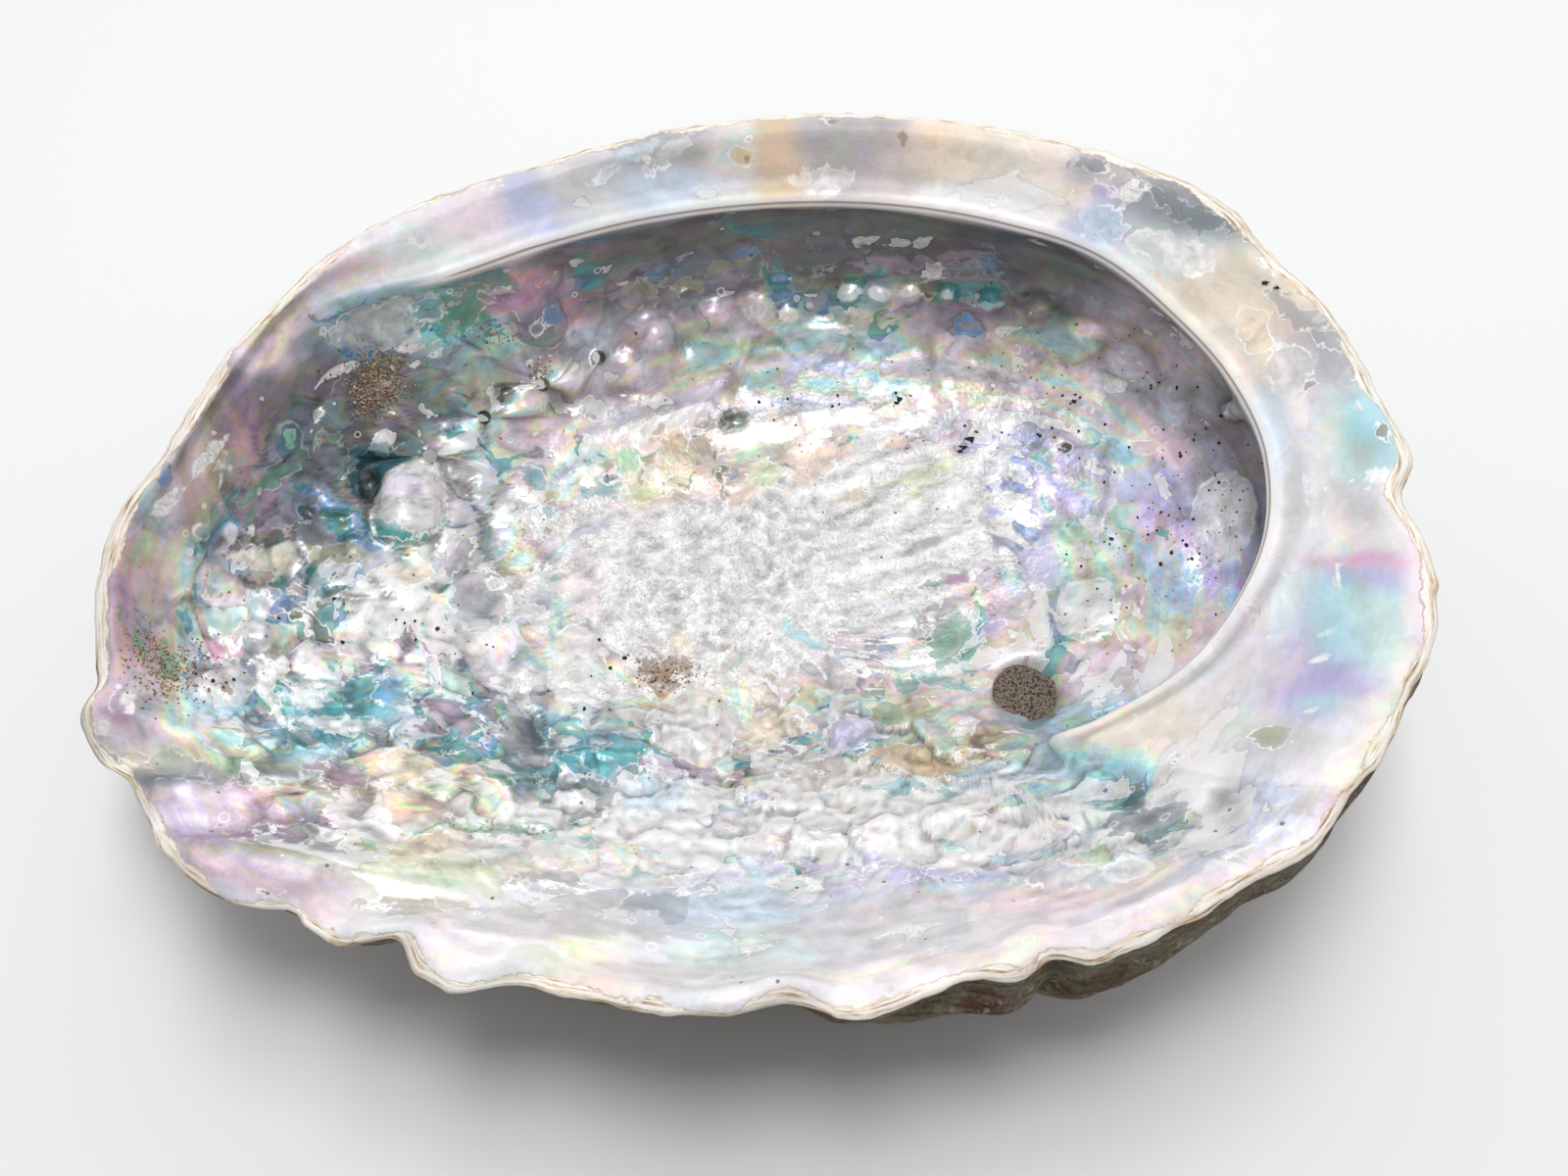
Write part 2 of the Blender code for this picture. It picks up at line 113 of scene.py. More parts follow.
# The outline of the mouth, (x, y), drawn point by point because the lip is chipped and scalloped
RIM = [
    (90.5, -2.0), (88.5, 5.0), (90.5, 9.5), (88.5, 21.0), (85.0, 31.5), (80.5, 41.5), (75.5, 48.5),
    (71.5, 56.0), (60.5, 64.5), (48.5, 70.0), (35.5, 73.5), (21.0, 76.0), (6.0, 76.5), (-8.5, 75.0),
    (-25.0, 71.0), (-35.0, 67.5), (-46.0, 63.5), (-56.0, 59.0), (-64.5, 53.0), (-73.0, 44.0), (-78.5, 36.0),
    (-83.0, 27.5), (-88.0, 16.5), (-92.5, 9.0), (-94.5, 0.0), (-94.5, -10.0), (-93.5, -17.5), (-94.5, -21.5),
    (-91.5, -27.0), (-87.0, -30.5), (-83.0, -37.0), (-77.5, -44.0), (-72.0, -47.5), (-67.5, -49.5),
    (-62.5, -49.5), (-58.5, -53.0), (-52.5, -56.0), (-46.5, -55.5), (-43.0, -60.0), (-37.5, -62.5),
    (-32.0, -61.5), (-25.5, -63.0), (-17.5, -65.0), (-8.5, -66.5), (-4.0, -66.5), (3.0, -64.5),
    (10.5, -66.5), (15.0, -66.5), (19.5, -65.0), (25.5, -62.5), (32.5, -62.0), (36.0, -59.5),
    (41.0, -60.0), (48.0, -57.5), (55.0, -54.5), (61.5, -50.5), (71.5, -45.0), (75.0, -40.0),
    (81.0, -33.0), (85.0, -25.0), (89.5, -17.0), (90.5, -11.0),
]  # fmt: skip

# (turn, height) of that outline, lowest at the front corner
RIM_HEIGHT = [
    (0, 54), (40, 54), (90, 53.5), (125, 52), (150, 50), (165, 48), (178, 45.5), (190, 41.5), (201, 36),
    (215, 38.5), (235, 42), (252, 45), (270, 46), (290, 47), (305, 48.5), (322, 51), (340, 53.5),
]  # fmt: skip

# Cross-sections of the inside: the turn, then (radius, height) of the shelf or slope, of its inner edge, of
# the wall, of the keel and of the floor, then how far the edge is rolled and overhanging, from 0 to 1
HOLLOW_SECTIONS = [
    (2, (82, 51.5), (72.2, 46.5), (80.5, 35), (77, 21), (45, 10), 1),
    (13, (80, 51.5), (70.3, 47.5), (78.5, 36), (77, 23), (46, 10), 1),
    (24, (76, 51.5), (67, 48), (74.5, 38), (74, 25), (45, 10), 1),
    (37, (72, 51.5), (64, 48), (69, 38), (67, 24), (42, 10), 1),
    (51, (66, 51.5), (58, 48), (63, 37), (61.5, 23), (38, 9.5), 1),
    (71, (59, 51.5), (51.7, 48), (55.5, 37), (53.5, 22.5), (32, 9.5), 1),
    (93, (55.5, 51), (48.6, 48), (52, 37), (49.5, 22.5), (30, 9.5), 1),
    (112, (56.5, 50.5), (49.8, 47.5), (52.5, 36), (49.5, 22.5), (30, 9.5), 1),
    (130, (60, 49.5), (53.5, 47.5), (54.5, 36), (50, 22.5), (30, 9.5), 1),
    (145, (67, 48.5), (61, 46.5), (60, 35), (53, 22.5), (32, 10), 0.8),
    (157, (77, 47.5), (74, 45), (69.5, 34), (58, 22.5), (34, 10.5), 0.35),
    (168, (81, 45.5), (78.5, 42.5), (74.5, 33), (64.5, 23), (36, 11.5), 0.1),
    (180, (86.5, 43), (84, 39), (79.5, 31), (72, 24), (40, 13), 0),
    (192, (92.5, 38.5), (89.5, 34), (84, 28.5), (76, 25), (46, 15.5), 0),
    (204, (92, 37), (86, 34), (78, 29.5), (65, 24.5), (40, 15), 0),
    (225, (82.5, 39), (74, 34.5), (63, 28), (48, 20.5), (30, 12.5), 0),
    (250, (74, 41), (66, 35.5), (56, 28.5), (43, 19.5), (26, 11), 0),
    (270, (73, 41.5), (65, 35.5), (55, 28), (42, 18.5), (25, 10), 0),
    (290, (73.5, 42), (65, 35), (55, 27), (42, 17.5), (25, 9.5), 0),
    (308, (78, 43), (67, 33.5), (55, 23.5), (43, 15.5), (26, 9), 0),
    (319, (80.5, 44), (60, 26), (49, 17), (40, 12.5), (27, 9), 0.1),
    (325, (81.5, 45.5), (51.5, 20), (46.5, 14.5), (41, 12), (28, 9), 0.6),
    (331, (82, 47), (56, 22.5), (56, 16), (48, 12.5), (31, 9), 1),
    (338, (83, 48.5), (64, 31), (68.5, 22), (60, 14.5), (36, 9.5), 1),
    (348, (83, 50.5), (70.2, 41.5), (78.5, 29.5), (71, 17.5), (42, 10), 1),
]  # fmt: skip

# Cross-sections of the outside: the turn, then (share of the way from the crown to the lip, height) of the
# brow under the lip, of the wall, of the shoulder and of the belly
BACK_SECTIONS = [
    (0, (1.0, 49.5), (0.99, 38), (0.9, 22), (0.63, 8)),
    (30, (1.0, 49.5), (0.99, 38), (0.91, 22), (0.63, 7)),
    (60, (1.0, 49.5), (0.99, 37), (0.92, 21), (0.63, 6)),
    (90, (1.0, 49), (0.985, 37), (0.92, 21), (0.63, 5.5)),
    (120, (1.0, 48), (0.975, 36), (0.9, 20), (0.62, 5)),
    (145, (1.0, 46), (0.97, 34), (0.87, 19), (0.58, 6)),
    (165, (1.0, 43.5), (0.965, 32.5), (0.85, 18), (0.56, 6.5)),
    (180, (1.0, 40.5), (0.965, 30), (0.86, 18.5), (0.56, 7.5)),
    (190, (0.99, 37), (0.96, 28), (0.85, 18), (0.56, 8)),
    (200, (0.98, 32.5), (0.935, 25.5), (0.83, 18), (0.54, 8.5)),
    (225, (0.97, 38), (0.89, 29), (0.75, 19), (0.48, 8)),
    (250, (0.97, 41), (0.87, 31.5), (0.71, 20), (0.44, 8)),
    (270, (0.975, 42), (0.88, 32.5), (0.71, 21), (0.43, 8)),
    (288, (0.99, 42.5), (0.96, 33.5), (0.82, 21), (0.52, 6.5)),
    (303, (1.0, 42), (1.02, 33), (0.88, 20.5), (0.55, 7)),
    (318, (0.985, 45), (0.975, 35), (0.88, 21), (0.57, 7.5)),
    (338, (0.99, 49), (0.98, 37), (0.89, 21.5), (0.6, 8)),
]  # fmt: skip

# Folds that run in from the scalloped lip: three plan points of the crest, its height and its half-width
FOLDS = [
    ((-92, -20), (-81, -22), (-68, -29), 3.0, 3.4),
    ((-90, -26), (-78, -28), (-66, -34), -2.6, 3.0),
    ((-84, -31), (-70, -32), (-52, -37), 2.6, 3.6),
    ((-80, -37), (-66, -38), (-50, -41), -2.4, 3.2),
    ((-77, -41), (-59, -42), (-34, -45), 2.4, 3.8),
    ((-64, -49), (-48, -49), (-28, -49), -2.2, 3.2),
    ((-50, -54), (-35, -54), (-14, -52), 2.0, 3.6),
    ((-32, -61), (-20, -59), (-2, -56), -1.5, 3.0),
    ((-10, -66), (4, -62), (24, -58), 1.5, 3.4),
    ((3, -65), (16, -62), (30, -58), -1.2, 2.8),
    ((18, -65), (30, -60), (44, -54), 1.3, 3.2),
]

# What has grown on the inside: plan place, height (below zero for a pit), half-length and half-width, turn
LUMPS = [
    ((-57.5, 23.5), 3.2, (5.0, 4.2), 60),
    ((-64.0, 28.0), -3.0, (3.4, 3.0), 0),
    ((-71.0, 20.5), -1.8, (3.4, 2.8), 20),
    ((-36.5, 52.5), 2.0, (4.0, 3.6), 0),
    ((-4.0, 22.0), 1.5, (34.0, 17.0), 22),
    ((41.0, -2.8), -2.6, (4.4, 4.2), 0),
    ((-76.0, -2.5), 1.6, (5.0, 3.4), 0),
    ((-58.0, -11.5), 1.8, (10.0, 3.4), -12),
    ((-26.0, -17.0), 1.6, (12.0, 3.6), -4),
    ((-68.0, -8.0), -1.4, (9.0, 3.2), -12),
    ((-40.0, -24.0), 1.2, (11.0, 3.6), -8),
    ((14.0, -11.5), 1.3, (5.0, 3.4), 0),
    ((66.5, 19.5), 1.6, (8.0, 4.0), 80),
    ((50.0, -26.0), -1.3, (7.0, 3.6), 20),
    ((20.0, -30.0), 1.1, (16.0, 4.0), 3),
]
KNUCKLE = (1.7, 3.6)
OPEN_PORES = [(-53.5, 32.5), (-45.5, 40.0), (-36.5, 46.5), (-27.5, 52.0)]
SHUT_PORES = [
    (-18.0, 57.0), (-7.5, 60.5), (3.5, 62.5), (15.0, 63.5), (27.0, 62.5), (38.5, 60.0), (49.5, 55.5),
]  # fmt: skip
PORE_WAY_OUT = (-0.25, 0.55, -0.8)
CHIMNEY = (3.0, 5.2)
KNOB = (1.6, 5.2)


class Side(Enum):
    """Which part of the inside a patch lies on, where the shelf's edge hides what is under it."""

    SHELF = "shelf"
    BOWL = "bowl"


SHELF, BOWL = Side.SHELF, Side.BOWL

# (turn, millimetres) by which the crusty lip is wider than its narrowest
LIP_CRUST = [
    (0, 0.9), (28, 1.3), (60, 0.5), (100, 0.1), (140, 0.4), (165, 1.1), (192, 1.0), (215, 0.1), (250, 0.0),
    (290, 0.3), (330, 0.8),
]  # fmt: skip

# Broad washes of colour: each colour's ellipses
WASHES = {
    SHELF: {
        "film": [
            (300, 302, 36, 22), (405, 254, 44, 22), (1325, 450, 30, 42), (1350, 548, 70, 14),
            (1315, 600, 26, 26), (1302, 648, 20, 40), (1395, 726, 26, 14), (1245, 695, 26, 40),
            (1230, 790, 60, 26),
        ],
        "blush": [(350, 272, 40, 22), (470, 222, 42, 20), (1282, 667, 9, 50), (1443, 600, 12, 80)],
        "mint": [(430, 262, 40, 10), (1408, 648, 26, 42)],
        "pearl": [
            (480, 250, 50, 12), (590, 190, 40, 25), (612, 150, 20, 16), (736, 160, 22, 30),
            (1190, 258, 40, 18), (1400, 515, 40, 20),
        ],
        "periwinkle": [(537, 212, 24, 24), (1125, 222, 20, 18)],
        "grey": [
            (665, 155, 50, 20), (868, 150, 40, 30), (1113, 172, 22, 14), (1360, 340, 30, 30),
            (1392, 462, 16, 14),
        ],
        "sky": [(668, 188, 52, 16), (1300, 440, 16, 40)],
        "tan": [(794, 165, 22, 32)],
        "taupe": [(905, 185, 30, 18)],
        "beige": [(960, 156, 50, 26), (1085, 195, 30, 12), (1235, 284, 26, 18), (1300, 300, 40, 30)],
        "cream": [(1050, 158, 46, 24), (1280, 345, 30, 34), (1430, 720, 20, 50), (1170, 745, 70, 26)],
        "white": [(1020, 200, 70, 16)],
        "silver": [(1152, 238, 26, 16), (1335, 370, 28, 34), (1300, 760, 26, 18)],
        "slate": [(1215, 215, 60, 18)],
        "aqua": [(1395, 445, 24, 30), (1367, 603, 50, 20), (1370, 650, 26, 26), (1350, 716, 26, 8)],
        "rose": [(1385, 571, 46, 6)],
        "violet": [(1394, 588, 34, 12), (1345, 698, 50, 20)],
        "lavender": [(1322, 660, 20, 34)],
    },
    BOWL: {
        "mauve": [(126, 610, 12, 80), (255, 480, 36, 50), (235, 430, 12, 60), (280, 845, 70, 10)],
        "khaki": [(150, 600, 14, 50), (228, 450, 14, 50), (190, 502, 12, 44), (728, 448, 18, 14)],
        "mint": [
            (160, 520, 20, 50), (715, 345, 40, 9), (1120, 560, 40, 26), (1150, 840, 60, 30),
            (770, 970, 40, 14),
        ],
        "film": [
            (198, 440, 12, 50), (306, 326, 30, 12), (300, 650, 70, 40), (400, 620, 60, 50),
            (600, 640, 70, 50), (545, 850, 80, 28), (700, 845, 110, 32), (880, 850, 110, 26),
            (1010, 850, 110, 24), (175, 752, 60, 15), (510, 950, 70, 24), (700, 1012, 50, 12),
            (840, 1000, 80, 20), (960, 985, 60, 14), (1050, 965, 80, 18), (1180, 895, 50, 26),
            (1290, 850, 50, 40), (1380, 790, 60, 50),
        ],
        # Painted highlights: the small white washes on the row of grown-shut holes, from (472, 436) to
        # (1110, 335), stand for soft sheen on its bumps
        "white": [
            (262, 356, 24, 20), (472, 436, 13, 10), (536, 414, 11, 9), (585, 378, 13, 16),
            (612, 390, 16, 12), (640, 372, 14, 12), (668, 338, 14, 12), (820, 332, 36, 9),
            (1110, 335, 30, 9), (760, 580, 130, 60),
        ],
        # Painted shade: the dark washes darken the far wall under the shelf's overhang and the hollows
        # between the swells
        "dark": [
            (285, 420, 24, 30), (860, 225, 260, 18), (620, 262, 90, 14), (1080, 262, 60, 20),
            (1190, 330, 40, 22), (1258, 430, 20, 46), (1275, 530, 14, 50), (840, 252, 80, 22),
            (960, 255, 80, 22), (575, 412, 13, 10), (632, 352, 12, 8), (372, 486, 18, 24),
        ],
        "silver": [
            (190, 560, 30, 60), (190, 660, 60, 40), (1170, 350, 50, 50), (1235, 440, 36, 60),
            (640, 340, 60, 20), (880, 310, 60, 16), (700, 380, 90, 30), (1090, 390, 60, 40),
            (460, 735, 70, 30), (870, 755, 70, 26), (845, 950, 50, 14),
        ],
        # Partly painted shade: the slate washes along the far wall under the shelf, and the one at (190,
        # 790) in the first fold's groove
        "slate": [
            (320, 430, 40, 50), (300, 540, 60, 40), (400, 400, 50, 40), (640, 285, 70, 28),
            (720, 255, 80, 24), (760, 290, 60, 14), (1080, 290, 70, 36), (515, 402, 12, 10),
            (1000, 315, 60, 16), (190, 790, 70, 9),
        ],
        "umber": [(386, 394, 30, 26), (140, 655, 20, 22)],
        "taupe": [(168, 676, 34, 24), (820, 790, 80, 22), (1222, 930, 40, 16)],
        "olive": [(212, 450, 9, 60), (340, 870, 60, 14)],
        "rose": [(165, 500, 10, 40), (530, 300, 50, 22)],
        "aqua": [(420, 320, 70, 30), (330, 720, 90, 30), (1130, 780, 70, 30)],
        "leaf": [(470, 316, 28, 20)],
        "grey": [(480, 400, 60, 30)],
        "periwinkle": [(1250, 560, 36, 60), (1050, 500, 40, 46), (960, 888, 110, 12)],
        "pearl": [
            (1215, 650, 40, 30), (760, 320, 60, 20), (980, 380, 70, 34), (1100, 620, 60, 40),
            (560, 440, 60, 30), (520, 540, 60, 50), (900, 540, 80, 50), (900, 660, 70, 40),
            (700, 760, 70, 30), (565, 930, 60, 18), (670, 975, 50, 20), (950, 945, 70, 20),
        ],
        "sky": [
            (850, 380, 80, 30), (1140, 480, 34, 40), (1010, 790, 60, 24), (1240, 800, 50, 40),
            (740, 920, 90, 22),
        ],
        "lavender": [(1185, 530, 34, 50)],
        "blush": [(1190, 440, 30, 26), (225, 818, 70, 16), (1090, 925, 60, 18)],
        "cream": [(640, 470, 26, 22), (800, 470, 60, 40), (720, 700, 90, 40)],
        "lime": [
            (672, 492, 26, 20), (782, 464, 20, 20), (925, 486, 30, 12), (190, 775, 60, 12),
            (420, 885, 90, 20), (590, 970, 40, 14),
        ],
        "tan": [(700, 462, 26, 18), (960, 775, 80, 20)],
        "peach": [(752, 482, 20, 20), (815, 476, 20, 26)],
        "teal": [(570, 760, 80, 30)],
        "beige": [(430, 800, 60, 30), (600, 1006, 40, 12)],
        "green": [(530, 842, 50, 8)],
        "pink": [(290, 898, 60, 16)],
    },
}  # fmt: skip

# The scar and the coloured window at its upper left, and the slant of its grain
SCAR, SCAR_TURN = (790, 570, 250, 130), -14
SCAR_WINDOW, SCAR_WINDOW_TURN = (715, 474, 105, 36), -8
GRAIN_SLANT = 19

# Where the nacre lies in flakes: ellipse, turn, weight
FLAKED_ZONES = [(350, 600, 250, 250, 0, 1), (760, 800, 560, 100, 3, 1), (1110, 530, 170, 150, 0, 0.3),
                (780, 330, 420, 90, 0, 0.35)]  # fmt: skip

# Where dark nacre shows in pools: ellipse, weight
DEEP_ZONES = [
    (300, 560, 130, 130, 0.75), (420, 330, 130, 60, 0.75), (700, 285, 260, 50, 0.55),
    (1000, 300, 160, 45, 0.6), (480, 745, 230, 50, 0.78), (880, 760, 160, 50, 0.6),
    (1120, 800, 90, 50, 0.6), (600, 815, 100, 30, 0.4), (640, 480, 180, 60, 0.45),
    (1000, 620, 140, 60, 0.5), (1120, 500, 110, 90, 0.35), (890, 890, 130, 14, 0.5),
]  # fmt: skip

# Where the milky white film lies thick, its white standing in part for painted glare off the wet nacre:
# ellipse, weight
FILM_AND_GLARE_ZONES = [
    (780, 570, 230, 120, 1.0), (712, 474, 100, 34, -1.3), (600, 650, 110, 80, 0.5),
    (640, 815, 420, 60, 0.5), (720, 850, 260, 40, 0.6), (980, 835, 240, 40, 0.9), (1230, 800, 70, 70, 0.9),
    (400, 620, 100, 60, 0.45), (330, 720, 120, 40, 0.3), (340, 860, 60, 26, 0.8), (1150, 680, 100, 50, 0.6),
    (600, 420, 130, 50, 0.35), (960, 460, 120, 40, 0.6), (420, 500, 70, 60, 0.5), (760, 925, 260, 24, 0.2),
]  # fmt: skip
FILM_ZONES_ON_SHELF = [
    (1230, 790, 70, 50, 0.9), (1250, 700, 20, 50, 0.7), (1020, 200, 80, 24, 0.9), (840, 185, 46, 18, 0.7),
    (700, 196, 60, 14, 0.55), (585, 205, 32, 22, 0.55), (760, 160, 26, 26, 0.5), (1190, 260, 60, 30, 0.6),
    (1315, 390, 50, 50, 0.45),
]  # fmt: skip

# Patches with a sharp edge: each colour's ellipses, with their turn in degrees clockwise and how ragged
# their edge is in millimetres
MARKS = {
    SHELF: {
        "film": [(840, 186, 34, 18, 0, 0.8), (1196, 258, 42, 20, 20, 0.8)],
        "gold": [(757, 160, 12, 10, 20, 0.7)],
        "brown": [(921, 143, 6, 13, 0, 0.6), (1410, 441, 8, 7, 0, 1.2), (848, 121, 8, 3, 0, 0.6)],
        "slate": [(1116, 170, 20, 9, 20, 1.2), (1235, 222, 80, 12, 28, 1.6)],
        "violet": [(1122, 194, 16, 9, 10, 1.0)],
        "sky": [(1126, 230, 26, 22, 10, 0.8), (640, 160, 34, 6, -38, 0.8)],
        "grey": [(1330, 315, 52, 12, 50, 1.4)],
        "beige": [(1280, 335, 18, 24, -20, 0.8)],
        "pearl": [(1316, 378, 24, 30, 0, 0.8)],
        "silver": [(680, 156, 30, 5, -42, 0.8)],
        "olive": [(1297, 752, 22, 14, 0, 0.9)],
    },
    BOWL: {
        "teal": [
            (358, 716, 62, 24, -6, 1.0), (546, 484, 26, 12, 8, 1.5), (556, 524, 16, 7, 0, 1.3),
            (612, 500, 20, 10, -20, 1.2), (956, 692, 36, 9, 0, 1.4), (610, 772, 46, 13, 0, 1.3),
            (941, 804, 58, 5, 0, 1.0),
        ],
        "deep_teal": [
            (330, 752, 66, 17, -3, 1.2), (317, 598, 34, 12, 12, 1.6), (294, 449, 16, 21, 12, 0.5),
            (376, 478, 24, 28, 20, 1.6), (1004, 300, 22, 9, -8, 0.9), (1154, 808, 13, 30, 28, 1.2),
            (1190, 790, 14, 10, -30, 1.0),
        ],
        "mauve": [
            (350, 794, 27, 14, 8, 1.6), (467, 734, 44, 17, 18, 0.8), (531, 303, 48, 17, -22, 1.2),
            (930, 268, 54, 7, -4, 1.4), (712, 784, 44, 8, 4, 1.2),
        ],
        "beige": [
            (414, 787, 24, 18, 0, 0.9), (416, 588, 25, 12, 0, 0.9), (700, 500, 16, 14, 0, 1.0),
            (691, 656, 18, 10, -20, 1.8), (789, 738, 34, 19, 0, 1.0), (430, 866, 46, 14, -6, 0.8),
        ],
        "silver": [
            (261, 650, 20, 15, 0, 0.3), (391, 326, 58, 30, -24, 0.9), (481, 490, 18, 17, 0, 0.4),
            (798, 579, 10, 7, 0, 1.8), (847, 855, 44, 13, 0, 0.8), (1082, 894, 42, 17, -6, 0.9),
        ],
        "pearl": [
            (230, 700, 28, 22, -10, 0.4), (416, 510, 34, 42, 14, 0.5), (774, 314, 17, 16, 0, 0.3),
            (587, 678, 28, 39, 0, 0.3), (1110, 622, 32, 32, 0, 0.6), (1250, 530, 32, 50, 10, 0.4),
            (1261, 418, 12, 10, 0, 0.3), (707, 738, 46, 33, 0, 0.5), (539, 873, 68, 18, 4, 0.9),
        ],
        "rose": [(223, 664, 20, 10, 10, 1.6)],
        "blue": [(288, 616, 17, 11, 0, 1.2)],
        "film": [(385, 620, 32, 42, 8, 1.4), (654, 900, 60, 9, 0, 0.8)],
        # Painted shade: the grey line at (196, 784) darkens the first fold's groove
        "grey": [
            (486, 610, 31, 34, 0, 1.4), (550, 902, 46, 9, 2, 1.0), (674, 925, 34, 14, 0, 1.1),
            (196, 784, 64, 8, 6, 1.2),
        ],
        "mint": [(465, 694, 17, 19, 0, 0.8)],
        "leaf": [
            (282, 486, 48, 7, -36, 1.0), (410, 542, 32, 14, 6, 1.5), (472, 318, 26, 24, -10, 1.6),
            (735, 480, 12, 10, 0, 1.0), (952, 598, 22, 7, -20, 1.0), (967, 652, 24, 26, 0, 1.6),
            (468, 764, 26, 8, 20, 1.2), (513, 792, 14, 9, 0, 1.0), (527, 844, 34, 6, 0, 1.0),
        ],
        "umber": [(270, 552, 32, 11, -12, 1.0), (954, 290, 14, 8, -8, 0.9), (749, 430, 15, 10, -10, 1.0)],
        "cream": [(276, 566, 36, 16, 6, 0.8)],
        "olive": [(345, 569, 36, 10, 0, 1.2), (700, 285, 60, 7, -14, 1.4), (930, 726, 52, 15, 4, 1.5)],
        # Painted shade: the slate lines at (296, 858) in the second fold's groove and at (820, 262) under
        # the shelf
        "slate": [
            (553, 329, 27, 26, 0, 0.4), (820, 262, 60, 7, -10, 1.4), (540, 752, 36, 30, 30, 1.2),
            (587, 812, 36, 25, 0, 1.0), (1172, 841, 38, 24, -10, 1.8), (296, 858, 52, 9, 6, 1.2),
        ],
        "lime": [(650, 506, 22, 15, 0, 1.0), (782, 483, 17, 14, 0, 1.0), (936, 489, 30, 12, -12, 1.2)],
        "green": [(640, 470, 20, 12, -20, 1.4)],
        "khaki": [(722, 455, 22, 9, -16, 1.4), (428, 928, 46, 8, 6, 1.2)],
        "peach": [(760, 506, 20, 12, -20, 1.0), (680, 478, 15, 13, 0, 1.2), (834, 478, 44, 12, -56, 1.0)],
        "white": [
            (660, 444, 84, 12, -19, 1.6), (610, 478, 50, 6, -24, 1.6), (950, 520, 60, 8, -17, 1.4),
            (945, 560, 70, 9, -16, 1.4), (840, 500, 60, 7, -20, 1.4), (1148, 886, 29, 10, -8, 0.4),
        ],
        "blush": [(597, 598, 22, 33, 0, 1.8)],
        "sky": [
            (702, 592, 20, 10, 30, 2.4), (672, 814, 36, 20, 0, 0.9), (762, 919, 60, 18, 2, 1.0),
            (995, 787, 38, 16, 0, 1.6),
        ],
        "aqua": [(820, 648, 15, 10, 30, 2.4)],
        "brown": [(678, 688, 24, 14, 0, 1.8)],
        "tan": [(866, 502, 14, 8, 0, 1.4), (930, 776, 50, 18, 6, 1.4)],
        "violet": [(1013, 637, 10, 8, 0, 1.0), (1252, 590, 30, 10, 0, 1.2)],
        "lavender": [(1065, 578, 22, 22, 0, 0.8), (869, 752, 31, 18, 0, 0.5), (893, 889, 108, 9, 0, 1.6)],
        "taupe": [(828, 783, 50, 14, 8, 1.4)],
        "periwinkle": [(1225, 764, 38, 16, 0, 1.0)],
    },
}  # fmt: skip

# Small spots that lie on top of the patches, in the same form
SPOTS = {
    SHELF: {
        "brown": [(762, 163, 5, 5, 0, 0.5), (1337, 389, 4, 10, 20, 0.8)],
        "olive": [(763, 142, 4, 4, 0, 0.4)],
        "white": [
            (1346, 673, 8, 3, -20, 0.3), (1400, 490, 30, 4, -14, 1.2), (1354, 646, 8, 3, -20, 0.3),
            (1341, 724, 8, 3, -20, 0.3),
        ],
    },
    BOWL: {
        # Painted highlights: nearly all these white spots are glints on the domes of blisters and swells, on
        # the lip's first fold and on the teal pool at (330, 720)
        "white": [
            (316, 706, 20, 9, -10, 1.6), (345, 738, 40, 6, 10, 1.4), (234, 543, 6, 9, 0, 0.3),
            (504, 596, 8, 6, 0, 0.4), (131, 716, 6, 10, 10, 0.5), (103, 742, 8, 7, 0, 0.5),
            (866, 299, 10, 7, 0, 0.4), (899, 299, 9, 6, 0, 0.4), (927, 297, 8, 5, 0, 0.4),
            (967, 299, 7, 5, 0, 0.4), (805, 320, 10, 7, 0, 0.4), (844, 853, 11, 5, 0, 0.5),
            (587, 812, 22, 15, 0, 0.8), (1262, 412, 6, 4, 0, 0.3),
        ],
        "blue": [(394, 703, 15, 10, 0, 0.9), (560, 322, 13, 10, 20, 0.8)],
        "brown": [
            (228, 707, 7, 6, 0, 0.8), (1125, 753, 4, 3, 0, 0.4), (1097, 824, 4, 3, 0, 0.4),
            (663, 470, 4, 20, 24, 1.0), (735, 492, 4, 16, -10, 1.0),
        ],
        "umber": [
            (297, 622, 36, 4, 38, 1.0), (211, 587, 6, 5, 0, 0.6), (373, 490, 7, 11, 20, 0.5),
            (385, 310, 6, 6, 0, 0.7), (449, 288, 10, 4, -30, 0.7), (709, 484, 4, 12, 20, 0.7),
            (625, 487, 6, 4, 0, 0.6), (279, 915, 9, 5, 10, 0.8), (945, 640, 10, 14, 20, 1.2),
            (700, 500, 14, 4, 20, 1.0),
        ],
        "green": [(294, 444, 8, 9, 0, 0.7)],
        "grey": [(206, 543, 9, 9, 0, 0.3), (547, 335, 7, 7, 0, 0.5)],
        "slate": [(225, 606, 7, 5, 0, 0.6), (312, 523, 11, 9, 0, 0.5), (418, 337, 9, 5, -20, 0.7)],
        "lilac": [(412, 496, 18, 14, 0, 0.8), (1130, 512, 5, 34, 16, 0.8)],
        "teal": [(402, 540, 24, 4, 16, 0.9), (434, 316, 14, 10, -20, 0.9)],
        "mauve": [(117, 718, 5, 9, 10, 0.5)],
        "silver": [(774, 314, 9, 8, 0, 0.3)],
        "aqua": [(1007, 311, 10, 3, -6, 0.5)],
        "ink": [(1087, 457, 7, 6, 0, 0.2)],
        "magenta": [(970, 594, 10, 5, -20, 0.7), (1267, 594, 10, 4, 0, 0.6)],
        "pink": [(1165, 455, 34, 5, 10, 0.8)],
    },
}  # fmt: skip

